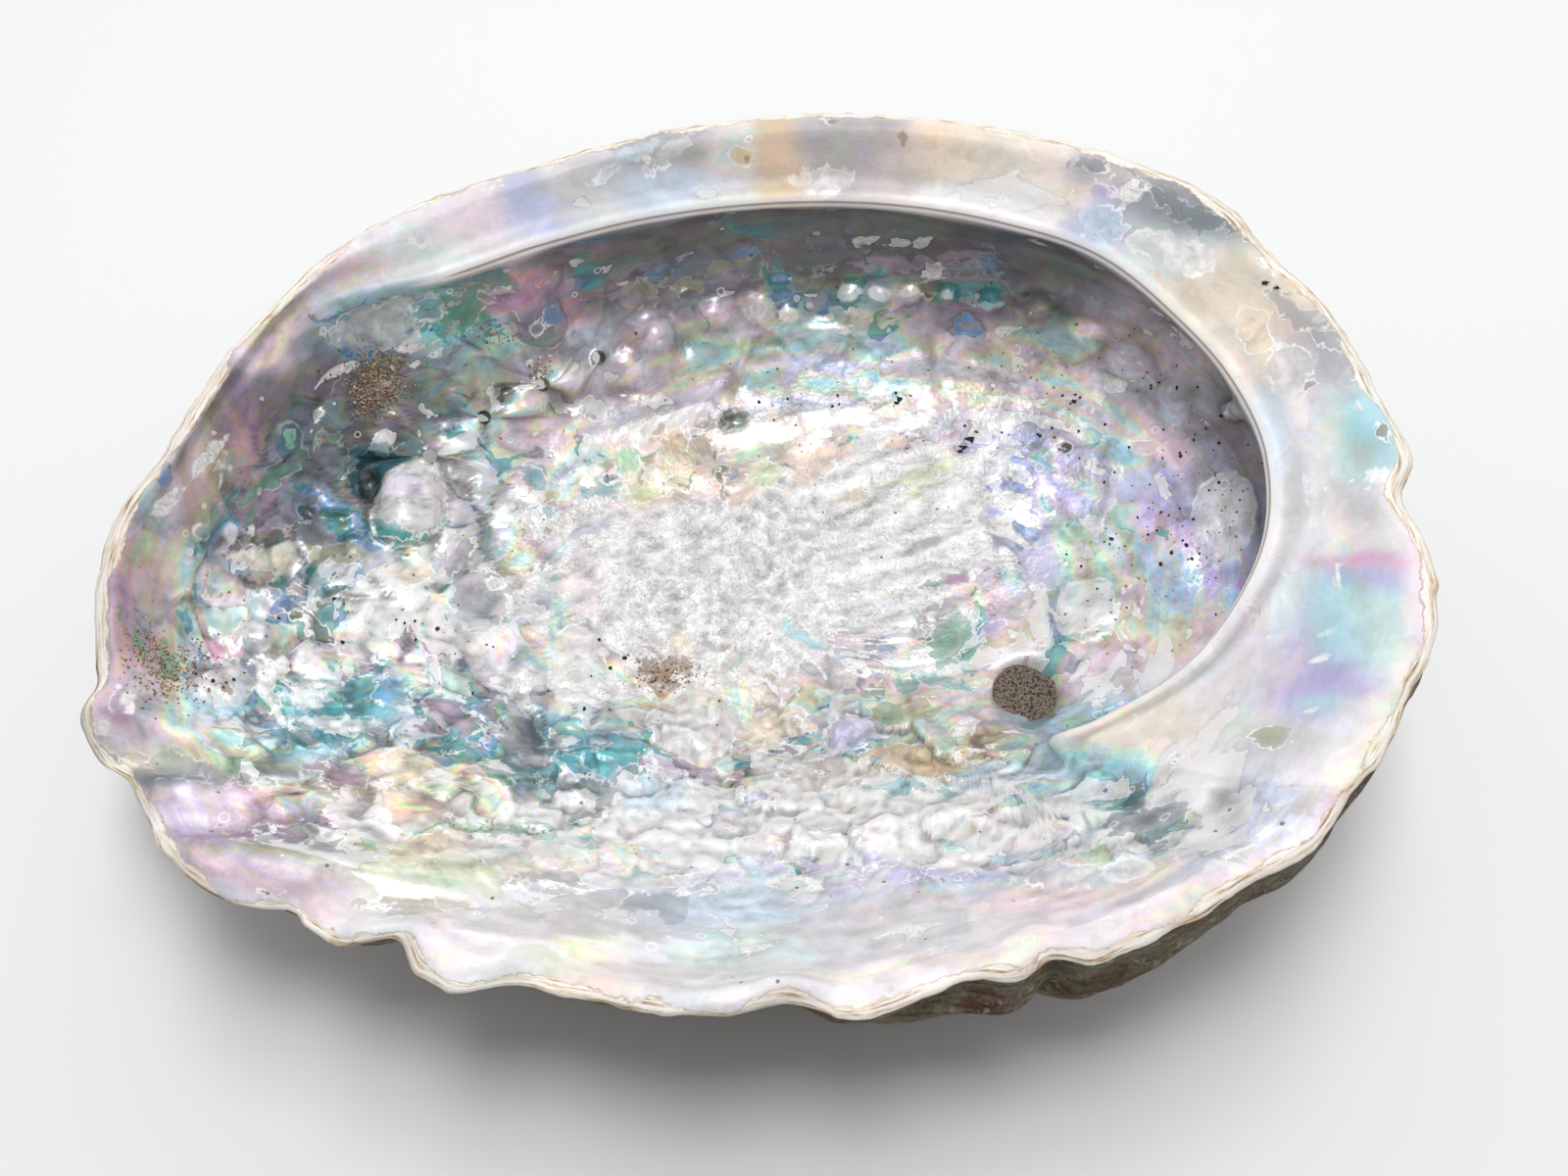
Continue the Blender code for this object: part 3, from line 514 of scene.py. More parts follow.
# Low domes and pits that show on the inside: ellipse, height in millimetres
BLISTERS = [
    (416, 512, 36, 44, 0.9), (553, 329, 28, 27, 0.7), (261, 650, 22, 17, 0.7), (230, 702, 28, 22, 0.6),
    (405, 424, 10, 9, 0.8), (206, 543, 10, 10, 0.6), (234, 543, 7, 10, 0.5), (294, 449, 17, 22, 0.5),
    (481, 490, 18, 18, 0.8), (587, 678, 29, 40, 0.8), (707, 738, 48, 35, 0.7), (774, 314, 17, 16, 0.9),
    (805, 320, 11, 8, 0.7), (869, 752, 33, 19, 0.7), (587, 812, 24, 17, 0.7), (847, 855, 46, 14, 0.5),
    (1110, 622, 33, 33, 0.6), (1039, 500, 36, 50, 0.5), (1250, 530, 34, 52, 0.7), (1261, 418, 13, 10, 1.0),
    (1087, 457, 7, 6, -1.0), (1048, 706, 41, 36, -1.5), (1082, 894, 44, 18, 0.5), (345, 513, 30, 38, 0.8),
    (312, 523, 12, 10, -0.8), (374, 492, 9, 13, -1.4), (253, 550, 12, 8, -1.0), (749, 429, 16, 10, -1.1),
]  # fmt: skip

# Smooth bumps and hollows of the row of grown-shut holes, in the same form
SWELLS = [
    (472, 440, 17, 14, 1.2), (536, 415, 14, 12, 1.2), (585, 388, 20, 17, 1.4), (640, 372, 20, 18, 1.3),
    (668, 342, 22, 17, 1.4), (724, 322, 22, 16, 1.2), (835, 335, 46, 12, 1.0), (866, 300, 12, 9, 0.9),
    (899, 300, 11, 8, 0.9), (928, 298, 10, 8, 0.9), (967, 300, 11, 8, 0.9), (1010, 306, 12, 9, 0.8),
    (1060, 318, 18, 12, 1.1), (1110, 338, 18, 13, 1.1), (1152, 366, 18, 15, 1.1), (1198, 402, 18, 17, 1.1),
    (1262, 418, 14, 12, 1.0), (514, 400, 14, 12, -1.0), (575, 412, 17, 13, -1.1), (632, 400, 20, 12, -1.0),
    (698, 352, 14, 14, -0.9), (372, 486, 16, 22, -1.6), (436, 540, 30, 20, 0.8), (500, 470, 40, 24, 0.7),
    (420, 620, 50, 40, 0.9), (330, 600, 46, 22, -0.8), (470, 700, 46, 40, -0.8), (350, 720, 80, 22, -0.8),
    (545, 745, 40, 34, -0.9), (605, 775, 60, 16, -0.7), (590, 812, 44, 26, -0.8), (930, 690, 60, 30, -0.8),
    (965, 645, 36, 28, -0.8), (820, 760, 60, 20, -0.6), (1150, 805, 50, 34, -0.9),
    (1180, 845, 44, 26, -0.6),
]  # fmt: skip

# Where brown sand has caught: ellipse, number of grains
SAND = [
    (386, 388, 34, 32, 800), (375, 410, 20, 20, 200), (509, 341, 26, 14, 90), (550, 378, 10, 14, 60),
    (177, 685, 44, 34, 420), (150, 660, 26, 26, 120), (678, 689, 30, 18, 220), (1225, 540, 60, 90, 70),
    (1150, 600, 110, 110, 60), (900, 400, 260, 90, 60), (330, 620, 160, 120, 70), (1060, 370, 150, 60, 60),
]  # fmt: skip

# Where dark crumbs of horn and mud lie singly, in the same form
CRUMBS = [
    (1210, 500, 70, 90, 46), (1110, 420, 100, 40, 22), (1130, 560, 80, 70, 18), (920, 430, 160, 40, 12),
    (420, 640, 120, 50, 16), (600, 700, 120, 40, 10), (240, 690, 60, 24, 10),
]  # fmt: skip

# The mesh's numbers that the nacre reads
FIELDS = ("mark_edge", "mark_ragged", "spot_edge", "spot_ragged", "film", "deep", "scar", "flaked", "shelf",
          "calm", "lip", "cell", "brink", "cavity", "inner")  # fmt: skip

# Black flakes: pixel place, half-length in millimetres
FLAKES = [
    (917, 406, 0.75), (914, 410, 0.55), (992, 449, 0.85), (985, 458, 0.75), (979, 462, 0.5),
    (930, 404, 0.3), (996, 441, 0.35), (1290, 288, 0.5), (1303, 292, 0.45),
]  # fmt: skip


def linear(name: str) -> tuple[float, float, float, float]:
    """The palette's colour of that name as a linear colour with alpha 1.

    Args:
        name: the colour's name.

    Returns:
        The linear colour.
    """
    code = PALETTE[name].lstrip("#")
    parts = [int(code[i : i + 2], 16) / 255 for i in (0, 2, 4)]
    red, green, blue = (p / 12.92 if p <= 0.04045 else ((p + 0.055) / 1.055) ** 2.4 for p in parts)
    return red, green, blue, 1.0


def smooth(value: Array, start: float, end: float) -> Array:
    """A smooth step from 0 at start to 1 at end: 3t^2 - 2t^3 of the share t of the way."""
    t = np.clip((value - start) / (end - start), 0, 1)
    return t * t * (3 - 2 * t)


def lattice(cells: Array, seed: int) -> Array:
    """A fixed random number from 0 to 1 for each row of three whole numbers, by an integer hash.

    Args:
        cells: the rows.
        seed: picks the pattern.

    Returns:
        The numbers.
    """
    c = cells.astype(np.int64)
    mixed = c[..., 0] * 374761393 + c[..., 1] * 668265263 + c[..., 2] * 1440662683 + seed * 974711
    mixed = ((mixed & 0xFFFFFFFF) ^ ((mixed & 0xFFFFFFFF) >> 13)) * 1274126177 & 0xFFFFFFFF
    mixed = (mixed ^ (mixed >> 15)) * 2246822519 & 0xFFFFFFFF
    return (mixed ^ (mixed >> 16)) / 0xFFFFFFFF


def cloud(points: Array, size: float, seed: int, octaves: int = 1) -> Array:
    """Value noise: hashed lattice values blended smoothly, each octave half as large and half as strong.

    Args:
        points: places, one row each.
        size: spacing of the first octave's lattice.
        seed: picks the pattern.
        octaves: how many layers are summed.

    Returns:
        Numbers from about -1 to 1.
    """
    total = np.zeros(len(points))
    for octave in range(octaves):
        place = points / size * 2**octave + 17.3 * octave
        low = np.floor(place)
        t = place - low
        t = t * t * (3 - 2 * t)
        for corner in itertools.product((0, 1), repeat=3):
            weight = np.prod(np.where(corner, t, 1 - t), axis=1)
            total += weight * (2 * lattice(low + corner, seed + octave) - 1) * 0.5**octave
    return total / (2 - 2 * 0.5**octaves)


def shards(points: Array, size: float, seed: int) -> tuple[Array, Array, Array]:
    """Cells about jittered lattice points, as of overlapping flakes that each lie at their own tilt.

    Args:
        points: places, one row each.
        size: spacing of the lattice.
        seed: picks the pattern.

    Returns:
        Each point's cell as a number from 0 to 1, its distance from the cell's edge, and its height in the
        cell's tilted plane, both in the points' unit.
    """
    place = points / size
    low = np.floor(place)
    first = np.full(len(points), 9.0)
    second = first.copy()
    cell = np.zeros(len(points))
    tilt = np.zeros(len(points))
    for corner in itertools.product((-1, 0, 1), repeat=3):
        at = low + corner
        away = at + np.stack([lattice(at, seed + i) for i in range(3)], axis=1) - place
        gap = np.linalg.norm(away, axis=1)
        nearer = gap < first
        second = np.where(nearer, first, np.minimum(second, gap))
        cell = np.where(nearer, lattice(at, seed + 3), cell)
        spin = 2 * np.pi * lattice(at, seed + 4)
        tilt = np.where(nearer, away[:, 0] * np.cos(spin) + away[:, 1] * np.sin(spin), tilt)
        first = np.minimum(first, gap)
    return cell, (second - first) * size / 2, tilt * size


@dataclass(frozen=True)
class Viewpoint:
    """The photograph's camera, found by laying the shell's outline over the picture."""

    elevation: float = 60.0
    target: tuple[float, float, float] = (3.0, -4.0, 44.0)
    distance: float = 266.0
    focal_px: float = 1931.0
    image_px: tuple[int, int] = (1600, 1200)
    sensor: float = 36.0

    def axes(self) -> tuple[Array, Array, Array, Array]:
        """The camera's place and its right, up and forward directions, in millimetres.

        Returns:
            The place and the three directions.
        """
        lean = math.radians(self.elevation)
        back = np.array([0, -math.cos(lean), math.sin(lean)])
        right = np.array([1.0, 0, 0])
        return np.array(self.target) + self.distance * back, right, np.cross(right, -back), -back

    def project(self, points: Array) -> Array:
        """Each point's pixel: its offsets from the axis over its depth, times the focal length in pixels.

        Args:
            points: points in millimetres.

        Returns:
            Pixels, one row for each point.
        """
        place, right, up, forward = self.axes()
        away = points - place
        depth = away @ forward
        wide, high = self.image_px
        across = wide / 2 + self.focal_px * (away @ right) / depth
        return np.column_stack([across, high / 2 - self.focal_px * (away @ up) / depth])

    def make_camera(self) -> None:
        """Adds the camera and makes it the scene's."""
        place, _, _, forward = self.axes()
        camera = bpy.data.objects.new("camera", bpy.data.cameras.new("camera"))
        camera.data.sensor_width = self.sensor
        camera.data.lens = self.sensor * self.focal_px / self.image_px[0]
        camera.location = place * MM
        camera.rotation_euler = Vector(forward).to_track_quat("-Z", "Y").to_euler()
        camera.data.clip_start = 0.01
        bpy.context.scene.collection.objects.link(camera)
        bpy.context.scene.camera = camera


def reach(uv: Array, ellipse: Sequence[float], turn: float = 0.0) -> Array:
    """How far each pixel is from an ellipse's middle, as a share of the way to its outline.

    Args:
        uv: pixels, one row each.
        ellipse: the middle's x and y, the half-width and the half-height, in pixels.
        turn: the ellipse's turn, clockwise in degrees.

    Returns:
        0 at the middle and 1 on the outline.
    """
    x, y, wide, high = ellipse
    away = uv - (x, y)
    c, s = math.cos(math.radians(turn)), math.sin(math.radians(turn))
    return np.hypot((away @ (c, s)) / wide, (away @ (-s, c)) / high)


def around(turn: Array, knots: list) -> Array:
    """Values at each turn of a smooth closed curve (cubic Hermite) through knots of (turn, value, ...).

    Args:
        turn: the turns in degrees.
        knots: the knots.

    Returns:
        The values, one row for each turn.
    """
    knots = np.array(sorted(knots), float)
    at = np.concatenate([knots[-2:, 0] - 360, knots[:, 0], knots[:2, 0] + 360])
    value = np.vstack([knots[-2:, 1:], knots[:, 1:], knots[:2, 1:]])
    slope = np.gradient(value, at, axis=0)
    turn = np.mod(turn, 360)
    low = np.clip(np.searchsorted(at, turn, side="right") - 1, 0, len(at) - 2)
    gap = (at[low + 1] - at[low])[:, None]
    t = (turn[:, None] - at[low][:, None]) / gap
    start, end = value[low], value[low + 1]
    bend = t * t * (3 - 2 * t)
    lean = t * (1 - t)
    return start + (end - start) * bend + gap * lean * ((1 - t) * slope[low] - t * slope[low + 1])


def flat_section(section: tuple) -> list[float]:
    """A cross-section's nested pairs as one row of numbers."""
    return list(itertools.chain(*(item if isinstance(item, tuple) else (item,) for item in section)))


def through(controls: Array, along: Array) -> Array:
    """Points on a cubic B-spline that starts and ends on its end controls, one curve for each row.

    Args:
        controls: each row's control points.
        along: each row's place on its curve, 0 to 1.

    Returns:
        The points.
    """
    padded = np.concatenate([controls[:, :1]] * 2 + [controls] + [controls[:, -1:]] * 2, axis=1)
    spans = padded.shape[1] - 3
    place = np.clip(along, 0, 1) * spans
    span = np.minimum(place.astype(int), spans - 1)
    t = (place - span)[:, None]
    weights = ((1 - t) ** 3, 3 * t**3 - 6 * t**2 + 4, -3 * t**3 + 3 * t**2 + 3 * t + 1, t**3)
    rows = np.arange(len(span))
    return sum(w * padded[rows, span + i] for i, w in enumerate(weights)) / 6


def heading(turn: Array) -> Array:
    """Unit plan vectors at each turn."""
    return np.column_stack([np.cos(np.radians(turn)), np.sin(np.radians(turn))])


def polar(points: Array, pole: tuple[float, float]) -> tuple[Array, Array]:
    """(turn, radius) of plan points about a pole."""
    away = np.asarray(points, float) - np.asarray(pole)
    return np.degrees(np.arctan2(away[:, 1], away[:, 0])) % 360, np.hypot(away[:, 0], away[:, 1])


@dataclass(frozen=True)
class Grid:
    """A square grid of cells bent into a disc: share is 0 at the middle and 1 on the border."""

    cells: int

    def polar(self) -> tuple[Array, Array]:
        """Each vertex's place: the larger of |x| and |y| is its share, and the square's border its turn.

        Returns:
            The turns in degrees, and the shares from 0 in the middle to 1 on the border.
        """
        side = np.linspace(-1, 1, self.cells + 1)
        x, y = (g.ravel() for g in np.meshgrid(side, side))
        level = abs(x) >= abs(y)
        with np.errstate(divide="ignore", invalid="ignore"):
            turn = np.where(level, 45 * y / x, 90 - 45 * x / y)
        turn = np.nan_to_num(turn + 180 * np.where(level, x < 0, y < 0)) % 360
        return turn, np.maximum(abs(x), abs(y))

    def quads(self) -> Array:
        """The cells' corners, running the right way round seen from above."""
        corner = (np.arange(self.cells)[:, None] * (self.cells + 1) + np.arange(self.cells)).ravel()
        return np.column_stack([corner, corner + 1, corner + self.cells + 2, corner + self.cells + 1])

    def normals(self, points: Array) -> Array:
        """Unit normals of the grid's points, from its differences along rows and columns.

        Args:
            points: the grid's points.

        Returns:
            The normals.
        """
        grid = points.reshape(self.cells + 1, self.cells + 1, 3)
        normal = np.cross(np.gradient(grid, axis=0), np.gradient(grid, axis=1)).reshape(-1, 3)
        return normal / np.maximum(np.linalg.norm(normal, axis=1, keepdims=True), 1e-9)

    def ring(self, middle: int, steps: int) -> Array:
        """The vertices of the square ring that many steps from a vertex, in order round it.

        Args:
            middle: the vertex.
            steps: how many.

        Returns:
            The vertices.
        """
        row, column = divmod(middle, self.cells + 1)
        run = np.arange(-steps, steps)
        there = np.full(2 * steps, steps)
        rows = np.concatenate([-there, run, there, -run])
        columns = np.concatenate([run, there, -run, -there])
        return (row + rows) * (self.cells + 1) + column + columns


@dataclass(frozen=True)
class ShellForm:
    """The shell's two faces as lofts about a pole, the same as its solid's."""

    hollow_pole: tuple[float, float] = (0.0, 14.0)
    back_pole: tuple[float, float] = (-0.5, -1.0)
    hollow_floor: float = 7.0
    back_depth: float = -1.8
    crest: tuple[float, float] = (-3.2, 1.7)
    pole_flat: float = 10.0
    roll_top: tuple[float, float] = (2.6, 0.5)
    roll_tip: tuple[float, float] = (-0.3, -1.1)
    roll_under: tuple[float, float] = (1.8, -3.4)
    slope_ease: float = 0.3
    under_edge: tuple[float, float] = (0.42, 0.5)
    even_steps: int = 161
    keel_height: float = 23.0
    apex: tuple[float, float] = (55.0, -26.0)
    seam_end: tuple[float, float] = (38.0, -60.0)
    coil_growth: float = 3.1
    seam_fade: tuple[float, float] = (40.0, 3.5)
    coil_swell: float = 0.11
    coil_roundness: float = 0.6
    apex_mound: tuple[float, float] = (4.5, 15.0)
    waves: tuple[float, float] = (17, 6)
    wave_height: float = 1.3
    wave_turns: tuple[float, float] = (195.0, 318.0)
    wave_turn_fade: float = 20.0
    wave_shares: tuple[float, float] = (0.3, 0.55)
    wave_lip_fade: float = 0.08
    swell_lip_fade: float = 0.06

    def rim(self, turn: Array) -> Array:
        """(radius, height) of the lip's outermost line at each turn about the hollow's pole."""
        turns, radii = polar(RIM, self.hollow_pole)
        return np.hstack([around(turn, list(zip(turns, radii))), around(turn, RIM_HEIGHT)])

    def roll(self, turn: Array) -> Array:
        """How far the inner edge is a rolled, overhanging one at each turn, from 0 to 1."""
        return np.clip(around(turn, [(s[0], s[-1]) for s in HOLLOW_SECTIONS])[:, 0], 0, 1)

    def hollow(self, turn: Array, along: Array) -> Array:
        """Points of the inside: along runs from 0 on the lip to 1 at the deepest point.

        Args:
            turn: each point's turn.
            along: how far it is along its section.

        Returns:
            The points.
        """
        rim = self.rim(turn)
        values = around(turn, [flat_section(s[:-1]) for s in HOLLOW_SECTIONS])
        shelf, edge, wall, keel, floor = (values[:, i : i + 2] for i in range(0, 10, 2))
        roll = self.roll(turn)[:, None]
        top = edge + roll * self.roll_top + (1 - roll) * self.slope_ease * (shelf - edge)
        tip = edge + roll * self.roll_tip
        under = edge + roll * self.roll_under + (1 - roll) * self.slope_ease * (wall - edge)
        level = np.tile((self.pole_flat, self.hollow_floor), (len(turn), 1))
        pole = np.tile((0.0, self.hollow_floor), (len(turn), 1))
        controls = [rim, rim + self.crest, shelf, top, tip, under, wall, keel, floor, level, pole]
        drawn = through(np.stack(controls, axis=1), along)
        plan = np.asarray(self.hollow_pole) + heading(turn) * drawn[:, :1]
        return np.hstack([plan, drawn[:, 1:]])

    def back(self, turn: Array, along: Array) -> Array:
        """Points of the outside, on the same turns: along runs from 0 on the lip to 1 at the crown.

        Args:
            turn: each point's turn.
            along: how far it is along its section.

        Returns:
            The points.
        """
        rim = self.rim(turn)
        rim_plan = np.asarray(self.hollow_pole) + heading(turn) * rim[:, :1]
        back_turn, far = polar(rim_plan, self.back_pole)
        values = around(back_turn, [flat_section(s) for s in BACK_SECTIONS])
        sections = [values[:, i : i + 2] for i in range(0, 8, 2)]
        start = np.column_stack([np.ones(len(turn)), rim[:, 1]])
        level = np.column_stack([self.pole_flat / far, np.full(len(turn), self.back_depth)])
        pole = np.tile((0.0, self.back_depth), (len(turn), 1))
        drawn = through(np.stack([start, *sections, level, pole], axis=1), along)
        plan = np.asarray(self.back_pole) + (rim_plan - np.asarray(self.back_pole)) * drawn[:, :1]
        return np.hstack([plan, drawn[:, 1:]])

    def evenly(self, surface: Callable, share: Array) -> Array:
        """The surface's along value of each ring, so that rings are evenly apart from the pole to the lip.

        Args:
            surface: hollow or back.
            share: each point's share, 0 at the pole and 1 on the lip.

        Returns:
            The along values.
        """
        along = np.linspace(0, 1, self.even_steps)
        length = np.zeros(len(along))
        for turn in range(0, 360, 10):
            points = surface(np.full(len(along), float(turn)), along)
            length[1:] += np.cumsum(np.linalg.norm(np.diff(points, axis=0), axis=1))
        return np.interp((1 - share) * length[-1], length, along)

    def gap_to_lip(self, turn: Array, along: Array) -> Array:
        """Each inside point's distance from the lip, measured down its cross-section, in millimetres.

        Args:
            turn: each point's turn.
            along: how far it is along its section.

        Returns:
            The distances.
        """
        turns = np.arange(0, 361, 4.0)
        steps = np.linspace(0, 1, self.even_steps)
        rows = []
        for at in turns:
            points = self.hollow(np.full(len(steps), at), steps)
            rows.append(np.concatenate([[0], np.cumsum(np.linalg.norm(np.diff(points, axis=0), axis=1))]))
        table = np.array(rows)
        row = turn / 4.0
        low = np.minimum(row.astype(int), len(turns) - 2)
        t = row - low
        column = along * (self.even_steps - 1)
        left = np.minimum(column.astype(int), self.even_steps - 2)
        u = column - left
        near = table[low, left] * (1 - u) + table[low, left + 1] * u
        return near * (1 - t) + (table[low + 1, left] * (1 - u) + table[low + 1, left + 1] * u) * t

    def folds(self, plan: Array) -> Array:
        """How far the lip's folds lift each plan point: a Gaussian about each crest, fading inwards.

        Args:
            plan: plan points.

        Returns:
            The lifts in millimetres.
        """
        lift = np.zeros(len(plan))
        steps = np.linspace(0, 1, 28)[:, None]
        for start, middle, end, height, width in FOLDS:
            line = (1 - steps) ** 2 * start + 2 * steps * (1 - steps) * middle + steps**2 * end
            gap = np.linalg.norm(plan[:, None] - line[None], axis=2)
            strength = np.cos(np.pi / 2 * steps[:, 0] ** 2)
            lift += height * (strength * np.exp(-((gap / width) ** 2))).max(axis=1)
        return lift

    def lumps(self, points: Array) -> Array:
        """How far what has grown on the inside stands up: a Gaussian for each lump and grown-shut hole.

        Args:
            points: the inside's points.

        Returns:
            The lifts in millimetres.
        """
        lift = np.zeros(len(points))
        for middle, height, (length, width), turn in LUMPS:
            away = points[:, :2] - np.asarray(middle)
            along, across = heading(np.array([turn, turn + 90]))
            lift += height * np.exp(-((away @ along / length) ** 2) - (away @ across / width) ** 2)
        height, width = KNUCKLE
        for place in SHUT_PORES:
            gap = np.linalg.norm(points - (*place, self.keel_height), axis=1)
            lift += height * np.exp(-((gap / width) ** 2))
        return lift

    def spire(self, plan: Array) -> tuple[Array, Array]:
        """The coils of the spire: a logarithmic spiral seam with a power of a sine as the swell between.

        Args:
            plan: plan points of the back.

        Returns:
            The swell outwards, and the place across the coil from seam (0) to seam (1).
        """
        away = plan - np.asarray(self.apex)
        radius = np.maximum(np.hypot(away[:, 0], away[:, 1]), 0.5)
        end = np.subtract(self.seam_end, self.apex)
        wound = (np.arctan2(away[:, 1], away[:, 0]) - math.atan2(end[1], end[0])) / (2 * math.pi)
        coil = np.log(radius / math.hypot(*end)) / math.log(self.coil_growth) - wound
        across = coil - np.floor(coil)
        whorl = np.sin(np.pi * across) ** self.coil_roundness - self.coil_roundness
        swell = self.coil_swell * radius * whorl
        edge, width = self.seam_fade
        fade = 1 / (1 + np.exp((radius - edge) / width))
        mound, mound_width = self.apex_mound
        return swell * fade + mound * np.exp(-((radius / mound_width) ** 2)), coil

    def corrugation(self, turn: Array, share: Array) -> Array:
        """The back's slanting waves under the outer lip: a sine of turn and share, faded at its ends.

        Args:
            turn: each point's turn.
            share: each point's share, 0 at the crown and 1 on the lip.

        Returns:
            The lifts in millimetres.
        """
        round_count, across_count = self.waves
        phase = round_count * turn / 360 + across_count * (1 - share)
        low, high = self.wave_turns
        side = np.clip((turn - low) / self.wave_turn_fade, 0, 1)
        side *= np.clip((high - turn) / self.wave_turn_fade, 0, 1)
        inner, outer = self.wave_shares
        spread = np.clip((share - inner) / (outer - inner), 0, 1)
        spread *= np.clip((1 - share) / self.wave_lip_fade, 0, 1)
        return self.wave_height * np.sin(2 * np.pi * phase) * side * spread

    def mounds(self, points: Array) -> Array:
        """How far the mounds of the pore row stand out on the back: a Gaussian about each pore's axis.

        Args:
            points: the back's points.

        Returns:
            The lifts in millimetres.
        """
        way_out = np.asarray(PORE_WAY_OUT)
        swell = np.zeros(len(points))
        for places, (height, width) in ((OPEN_PORES, CHIMNEY), (SHUT_PORES, KNOB)):
            for place in places:
                away = points - (*place, self.keel_height)
                off_axis = np.linalg.norm(away - np.outer(away @ way_out, way_out), axis=1)
                swell = np.maximum(swell, height * np.exp(-((off_axis / width) ** 2)))
        return swell


@dataclass
class Inside:
    """The fields of the inside's vertices, worked out once and read by its relief and its finish."""

    form: ShellForm
    view: Viewpoint
    grid: Grid
    px_per_mm: float = 7.4
    edge_along: float = 0.41
    turn: Array = field(init=False)
    share: Array = field(init=False)
    along: Array = field(init=False)
    points: Array = field(init=False)
    normal: Array = field(init=False)
    uv: Array = field(init=False)
    gap: Array = field(init=False)
    shelf: Array = field(init=False)
    flake: tuple[Array, Array, Array] = field(init=False)

    def __post_init__(self) -> None:
        """Works out the plain surface and where the photograph shows each of its points."""
        form = self.form
        self.turn, self.share = self.grid.polar()
        self.along = form.evenly(form.hollow, self.share)
        points = form.hollow(self.turn, self.along)
        start, end = form.under_edge
        roll = form.roll(self.turn)
        covered = roll * (1 - np.clip((self.along - start) / (end - start), 0, 1))
        outward = self.grid.normals(points)
        points[:, 2] += form.folds(points[:, :2])
        points -= outward * (form.lumps(points) * (1 - covered))[:, None]
        self.points = points
        self.normal = -self.grid.normals(points)
        self.uv = self.view.project(points)
        self.gap = form.gap_to_lip(self.turn, self.along)
        self.shelf = smooth(roll, 0.1, 0.9) * (1 - smooth(self.along, 0.43, 0.46))
        warped = points + 2.6 * np.column_stack([cloud(points, 6, seed, 2) for seed in (91, 93, 95)])
        self.flake = shards(warped, 8.0, 11)

    def on(self, side: Side) -> Array:
        """1 where a vertex lies on that side, and 0 elsewhere."""
        return self.shelf if side is SHELF else 1 - self.shelf

    def zone(self, zones: list, side: Side) -> Array:
        """Sums soft elliptic patches, exp(-r^2) of the share r of the way to the outline, capped at 1.

        Args:
            zones: rows of ellipse and weight.
            side: the side on which they lie.

        Returns:
            Each vertex's sum, 0 to 1.
        """
        total = np.zeros(len(self.uv))
        for *ellipse, weight in zones:
            total += weight * np.exp(-(reach(self.uv, ellipse) ** 2))
        return np.clip(total, 0, 1) * self.on(side)

    def tint(self) -> Array:
        """The broad colour of each vertex: the washes' colours averaged, the nearest weighing most.

        Returns:
            Linear colours, one row for each vertex.
        """
        total = np.zeros((len(self.uv), 4))
        weight = np.zeros(len(self.uv))
        wobble = 14 * np.column_stack([cloud(self.points, 9, 31, 3), cloud(self.points, 9, 37, 3)])
        for side, washes in WASHES.items():
            for name, ellipse in ((name, row) for name, rows in washes.items() for row in rows):
                near = self.on(side) * np.exp(-1.6 * np.minimum(reach(self.uv + wobble, ellipse), 5) ** 1.5)
                total += (near + 1e-9)[:, None] * np.array(linear(name))
                weight += near + 1e-9
        near_lip = smooth(self.uv[:, 1], 820, 940)
        strong = (0.9 - 0.1 * self.shelf - 0.3 * near_lip)[:, None]
        return strong * total / weight[:, None] + (1 - strong) * np.array(linear("film"))

    def patches(self, table: dict) -> tuple[Array, Array, Array]:
        """The sharp-edged patches of a table, as fields that the finish cuts off along their zero line.

        Args:
            table: rows of patches for each side.

        Returns:
            Each vertex's nearest patch's colour, its distance inside that patch's edge in millimetres, and
            how ragged that edge is.
        """
        p = self.points
        broad = np.column_stack([cloud(p, 7, 71, 2), cloud(p, 7, 74, 2)])
        close = np.column_stack([cloud(p, 3, 77, 2), cloud(p, 3, 79, 2)])
        best = np.full(len(self.uv), -9.0)
        colour = np.ones((len(self.uv), 4))
        rough = np.zeros(len(self.uv))
        for side, colours in table.items():
            off_side = 9.0 * (1 - self.on(side))
            named = ((name, row) for name, rows in colours.items() for row in rows)
            for name, (x, y, *half, turn, ragged) in named:
                sway = min(ragged, 1.2) * (min(max(half), 40) * 0.3 * broad + min(half) * 0.35 * close)
                far = reach(self.uv + sway, (x, y, *half), turn)
                inside = (1 - far) * min(half) / self.px_per_mm - off_side
                nearer = inside > best
                best = np.where(nearer, inside, best)
                colour[nearer] = linear(name)
                rough[nearer] = ragged
        return colour, np.maximum(best, -4), rough

    def flow(self) -> Array:
        """Coordinates that follow the lip: the turn as a ring, and three times the gap to the lip."""
        return np.column_stack([RING * heading(self.turn), 3 * self.gap])

    def scar(self) -> Array:
        """Where the muscle's rough white scar lies: an ellipse less a coloured window, with a ragged edge.

        Returns:
            0 to 1 for each vertex.
        """
        whole = np.exp(-(reach(self.uv, SCAR, SCAR_TURN) ** 4))
        whole -= 1.2 * np.exp(-(reach(self.uv, SCAR_WINDOW, SCAR_WINDOW_TURN) ** 4))
        return np.clip(whole + 0.25 * cloud(self.points, 12, 5, 3), 0, 1) * self.on(BOWL)

    def flaked(self) -> Array:
        """Where the nacre lies in broken, overlapping flakes: off the wall, in a few broad ellipses.

        Returns:
            0 to 1 for each vertex.
        """
        total = sum(weight * np.exp(-(reach(self.uv, e, turn) ** 4)) for *e, turn, weight in FLAKED_ZONES)
        return np.clip(total, 0, 1) * smooth(self.gap, 9.0, 18.0) * self.on(BOWL)

